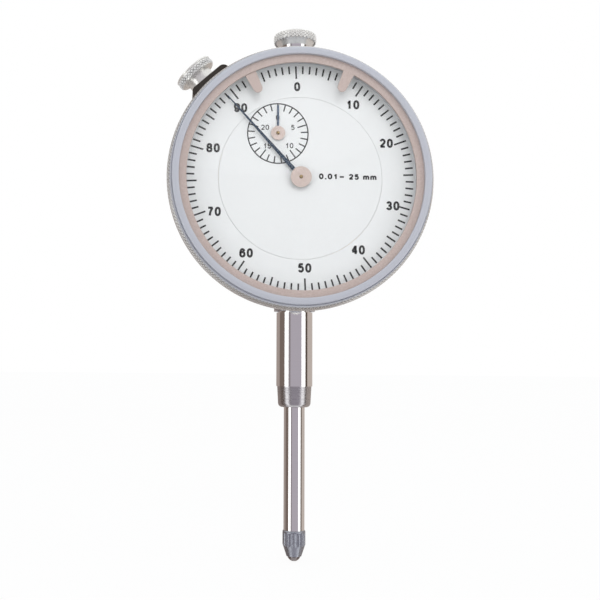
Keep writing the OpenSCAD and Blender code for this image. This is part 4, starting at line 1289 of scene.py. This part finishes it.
@dataclass
class InnerSprings:
    """Return spring of the plunger and hairspring of the take-up wheel, inside the case."""

    spring_x: float = 8.2
    pin_z: float = 27.6
    post_z: float = 16.682
    pin_r: float = 0.7
    post_r: float = 0.8
    wire_r: float = 0.16
    coil_r: float = 1.1
    turns: int = 8
    coil_steps: int = 24
    hook_gap: float = 0.05
    lead: float = 1.2
    take_up: Point = (5.2583, -5.2583)
    take_up_angle: float = -45.0
    collet_r: float = 0.9
    spiral_r: float = 5.0
    spiral_turns: int = 5
    spiral_steps: int = 64
    spiral_gap: float = 0.01
    strip: float = 0.12
    strip_low: float = 4.1
    strip_width: float = 0.4

    def wire_path(self) -> list[Vector]:
        """Middle line of the return spring, from its post to the guide pin.

        Returns:
            The points, in millimetres.
        """
        pin_hook = self.pin_r + self.wire_r + self.hook_gap
        post_hook = self.post_r + self.wire_r + self.hook_gap
        low, high = self.post_z + post_hook + self.lead, self.pin_z - pin_hook - self.lead
        lower = [(x, 0.0, z) for x, z in arc((self.spring_x, self.post_z), (post_hook, post_hook), 330, 0, 22)]
        lower.append((self.spring_x + post_hook, 0.0, self.post_z + self.post_r))
        steps = self.coil_steps * self.turns
        coil = []
        for i in range(steps + 1):
            angle = math.radians(90.0 + 360.0 * self.turns * i / steps)
            place = (self.coil_r * math.cos(angle), self.coil_r * math.sin(angle))
            coil.append((self.spring_x + place[0], place[1], low + (high - low) * i / steps))
        upper = [(self.spring_x, y, z) for y, z in arc((0.0, self.pin_z), (pin_hook, pin_hook), 0, 270, 20)]
        return [Vector(p) for p in lower + coil + upper]

    def build(self, fitter: Fitter) -> None:
        """Makes both springs.

        Args:
            fitter: Hangs the pieces on the frame.
        """
        wire = Drawing(Seat.PLUNGER)
        wire.tube(self.wire_path(), self.wire_r, 10)
        spring = fitter.fit(wire.finish("return_spring_wire", 60.0), SPRING_STEEL, None, "return_spring")
        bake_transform(spring)
        spiral = Drawing(Seat.DIAL)
        steps = self.spiral_steps * self.spiral_turns
        first = self.collet_r + self.strip / 2 + self.spiral_gap
        path = []
        for i in range(steps + 1):
            radius = first + (self.spiral_r - first) * i / steps
            angle = math.radians(self.take_up_angle + 360.0 * self.spiral_turns * i / steps)
            path.append((self.take_up[0] + radius * math.cos(angle), self.take_up[1] + radius * math.sin(angle)))
        spiral.stroke(path, self.strip / 2, self.strip_low, self.strip_low + self.strip_width)
        fitter.fit(spiral.finish("hairspring_strip", 40.0), SPRING_STEEL, "case", "hairspring")


class CarriedNodes:
    """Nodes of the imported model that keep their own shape."""

    def build(self, frame: dict, fitter: Fitter) -> None:
        """Gives each node its finish.

        Args:
            frame: The loaded frame.
            fitter: Knows the materials.
        """
        slots = {part["node"]: part["material_slot"] for part in frame["record"]["subparts"]}
        for name, node in frame["nodes"].items():
            finish = NODE_FINISH.get(name, SLOT_FINISH[slots[name]])
            node.data.materials.clear()
            node.data.materials.append(fitter.shop.material(finish))
            LOG.info("%s keeps its shape in %s", name, finish.name)


# Studio


@dataclass(frozen=True)
class Board:
    """A glowing board that only polished metal sees, as a share of a circle around the object.

    Attributes:
        name: Name of the board.
        start: First angle from the camera's side, in degrees to the right.
        end: Last angle.
        colour: Its colour.
    """

    name: str
    start: float
    end: float
    colour: Colour


@dataclass(frozen=True)
class Lamp:
    """A round soft lamp that points at the object, with its place and size in metres."""

    name: str
    place: Place
    size: float
    power: float


@dataclass
class Studio:
    """Camera, lamps, floor and boards."""

    eye: Place = (-25.2, -192.47, -4.32)
    look: Place = (0.04398, 0.996, 0.07778)
    roll: float = 0.524
    lens: float = 51.939
    sensor: float = 36.0
    shift_x: float = 0.1333
    floor_z: float = -46.45
    floor_size: float = 6000.0
    floor_glow: float = 0.93
    board_r: float = 700.0
    board_low: float = -1100.0
    board_high: float = 520.0
    board_steps: int = 12
    ambient: float = 0.9
    aim: Place = (0.0, 0.0, 0.025)
    lamps: tuple[Lamp, ...] = (
        Lamp("lamp_top", (0.05, -0.62, 0.38), 0.42, 0.90),
        Lamp("lamp_left", (-0.62, -0.40, 0.10), 0.40, 0.62),
        Lamp("lamp_right", (0.60, -0.46, 0.08), 0.40, 0.52),
    )
    boards: tuple[Board, ...] = (
        Board("board_rear_left", -178.0, -108.0, (0.40, 0.335, 0.305)),
        Board("board_dark_left", -108.0, -64.0, (0.20, 0.155, 0.135)),
        Board("board_strip_left", -64.0, -38.0, (1.7, 1.7, 1.7)),
        Board("board_front_left", -38.0, -24.0, (0.30, 0.27, 0.285)),
        Board("board_front", -24.0, 47.0, (0.465, 0.43, 0.48)),
        Board("board_strip_right", 47.0, 74.0, (1.7, 1.7, 1.7)),
        Board("board_dark_right", 74.0, 91.0, (0.11, 0.085, 0.07)),
        Board("board_rear_right", 91.0, 178.0, (0.57, 0.50, 0.455)),
    )

    def build(self) -> None:
        """Sets up the whole studio."""
        self.set_camera()
        self.set_world()
        self.set_floor()
        for lamp in self.lamps:
            self.set_lamp(lamp)
        for board in self.boards:
            self.set_board(board)
        bpy.context.scene.view_settings.view_transform = "Standard"

    def axes(self) -> tuple[Vector, Vector, Vector]:
        """Directions of the camera.

        Returns:
            Right, up and forward.
        """
        forward = Vector(self.look).normalized()
        right = forward.cross(Vector((0.0, 0.0, 1.0))).normalized()
        up = right.cross(forward)
        lean = math.radians(self.roll)
        return (
            right * math.cos(lean) + up * math.sin(lean),
            up * math.cos(lean) - right * math.sin(lean),
            forward,
        )

    def set_camera(self) -> None:
        """Places the camera."""
        right, up, forward = self.axes()
        turn = Matrix((right, up, -forward)).transposed().to_4x4()
        data = bpy.data.cameras.new("camera")
        data.lens = self.lens
        data.sensor_width = self.sensor
        data.shift_x = self.shift_x
        data.clip_start = 0.01
        camera = bpy.data.objects.new("camera", data)
        camera.matrix_world = Matrix.Translation(Vector(self.eye) * MILLIMETRE) @ turn
        bpy.context.scene.collection.objects.link(camera)
        bpy.context.scene.camera = camera

    def set_world(self) -> None:
        """White where it is seen or mirrored, and softer where it only lights."""
        world = bpy.data.worlds.new("studio")
        world.use_nodes = True
        bpy.context.scene.world = world
        bench = NodeBench(world.node_tree)
        seen = world.node_tree.nodes["Background"]
        bench.feed(seen, {"Color": (1.0, 1.0, 1.0, 1.0), "Strength": 1.0})
        soft = bench.add("ShaderNodeBackground", {"Color": (0.96, 0.98, 1.0, 1.0), "Strength": self.ambient})
        choice = bench.add("ShaderNodeMixShader", {0: bench.shown(), 1: soft.outputs[0], 2: seen.outputs[0]})
        bench.feed(world.node_tree.nodes["World Output"], {"Surface": choice.outputs[0]})

    @staticmethod
    def add_sheet(
        name: str, corners: Sequence[Place], faces: Sequence[tuple[int, ...]]
    ) -> tuple[bpy.types.Object, NodeBench]:
        """Puts a sheet with its own material into the scene.

        Args:
            name: Name of the sheet and its material.
            corners: Its corners, in millimetres.
            faces: Its faces, as numbers of corners.

        Returns:
            The sheet, and a bench on its material's tree.
        """
        mesh = bpy.data.meshes.new(name)
        mesh.from_pydata([Vector(corner) * MILLIMETRE for corner in corners], [], faces)
        material = bpy.data.materials.new(name)
        material.use_nodes = True
        mesh.materials.append(material)
        sheet = bpy.data.objects.new(name, mesh)
        bpy.context.scene.collection.objects.link(sheet)
        return sheet, NodeBench(material.node_tree)

    def set_floor(self) -> None:
        """Lays the pale floor under the contact point."""
        size, z = self.floor_size, self.floor_z
        corners = [(-size, -size, z), (size, -size, z), (size, size, z), (-size, size, z)]
        floor, bench = self.add_sheet("floor", corners, [(0, 1, 2, 3)])
        surface = bench.tree.nodes["Principled BSDF"]
        bench.feed(surface, {"Base Color": (0.9, 0.9, 0.9, 1.0), "Roughness": 0.9})
        glow = bench.add("ShaderNodeEmission").outputs[0]
        share = bench.math("MULTIPLY", bench.shown(), self.floor_glow)
        choice = bench.add("ShaderNodeMixShader", {0: share, 1: surface.outputs[0], 2: glow})
        bench.feed(bench.tree.nodes["Material Output"], {"Surface": choice.outputs[0]})
        floor.visible_glossy = False

    def set_lamp(self, lamp: Lamp) -> None:
        """Hangs one lamp.

        Args:
            lamp: The lamp.
        """
        data = bpy.data.lights.new(lamp.name, "AREA")
        data.shape = "DISK"
        data.size = lamp.size
        data.energy = lamp.power
        light = bpy.data.objects.new(lamp.name, data)
        turn = (Vector(self.aim) - Vector(lamp.place)).to_track_quat("-Z", "Y")
        light.matrix_world = Matrix.Translation(lamp.place) @ turn.to_matrix().to_4x4()
        light.visible_glossy = False
        bpy.context.scene.collection.objects.link(light)

    def set_board(self, board: Board) -> None:
        """Stands one board around the object.

        Args:
            board: The board.
        """
        ahead = -Vector(self.eye[:2]).normalized()
        right = Vector((ahead.y, -ahead.x))
        points, steps = [], self.board_steps
        for i in range(steps + 1):
            angle = math.radians(board.start + (board.end - board.start) * i / steps)
            flat = (right * math.sin(angle) - ahead * math.cos(angle)) * self.board_r
            points += [(flat.x, flat.y, self.board_low), (flat.x, flat.y, self.board_high)]
        faces = [(2 * i, 2 * i + 2, 2 * i + 3, 2 * i + 1) for i in range(steps)]
        piece, bench = self.add_sheet(board.name, points, faces)
        strength = max(1.0, *board.colour)
        colour = (*(c / strength for c in board.colour), 1.0)
        glow = bench.add("ShaderNodeEmission", {"Color": colour, "Strength": strength})
        bench.feed(bench.tree.nodes["Material Output"], {"Surface": glow.outputs[0]})
        for ray in ("camera", "diffuse", "transmission", "shadow", "volume_scatter"):
            setattr(piece, "visible_" + ray, False)


def main() -> None:
    """Loads the frame, builds the pieces and the studio."""
    logging.basicConfig(level=logging.INFO, format="%(message)s")
    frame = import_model()
    studio = Studio()
    studio.build()
    fitter = Fitter(MaterialShop())
    CarriedNodes().build(frame, fitter)
    for assembly in (
        BezelRim(),
        DialScale(),
        TurnCounter(),
        Pointers(),
        make_lifting_knob(),
        make_clamp_head(),
        InnerSprings(),
    ):
        assembly.build(fitter)


if __name__ == "__main__":
    main()
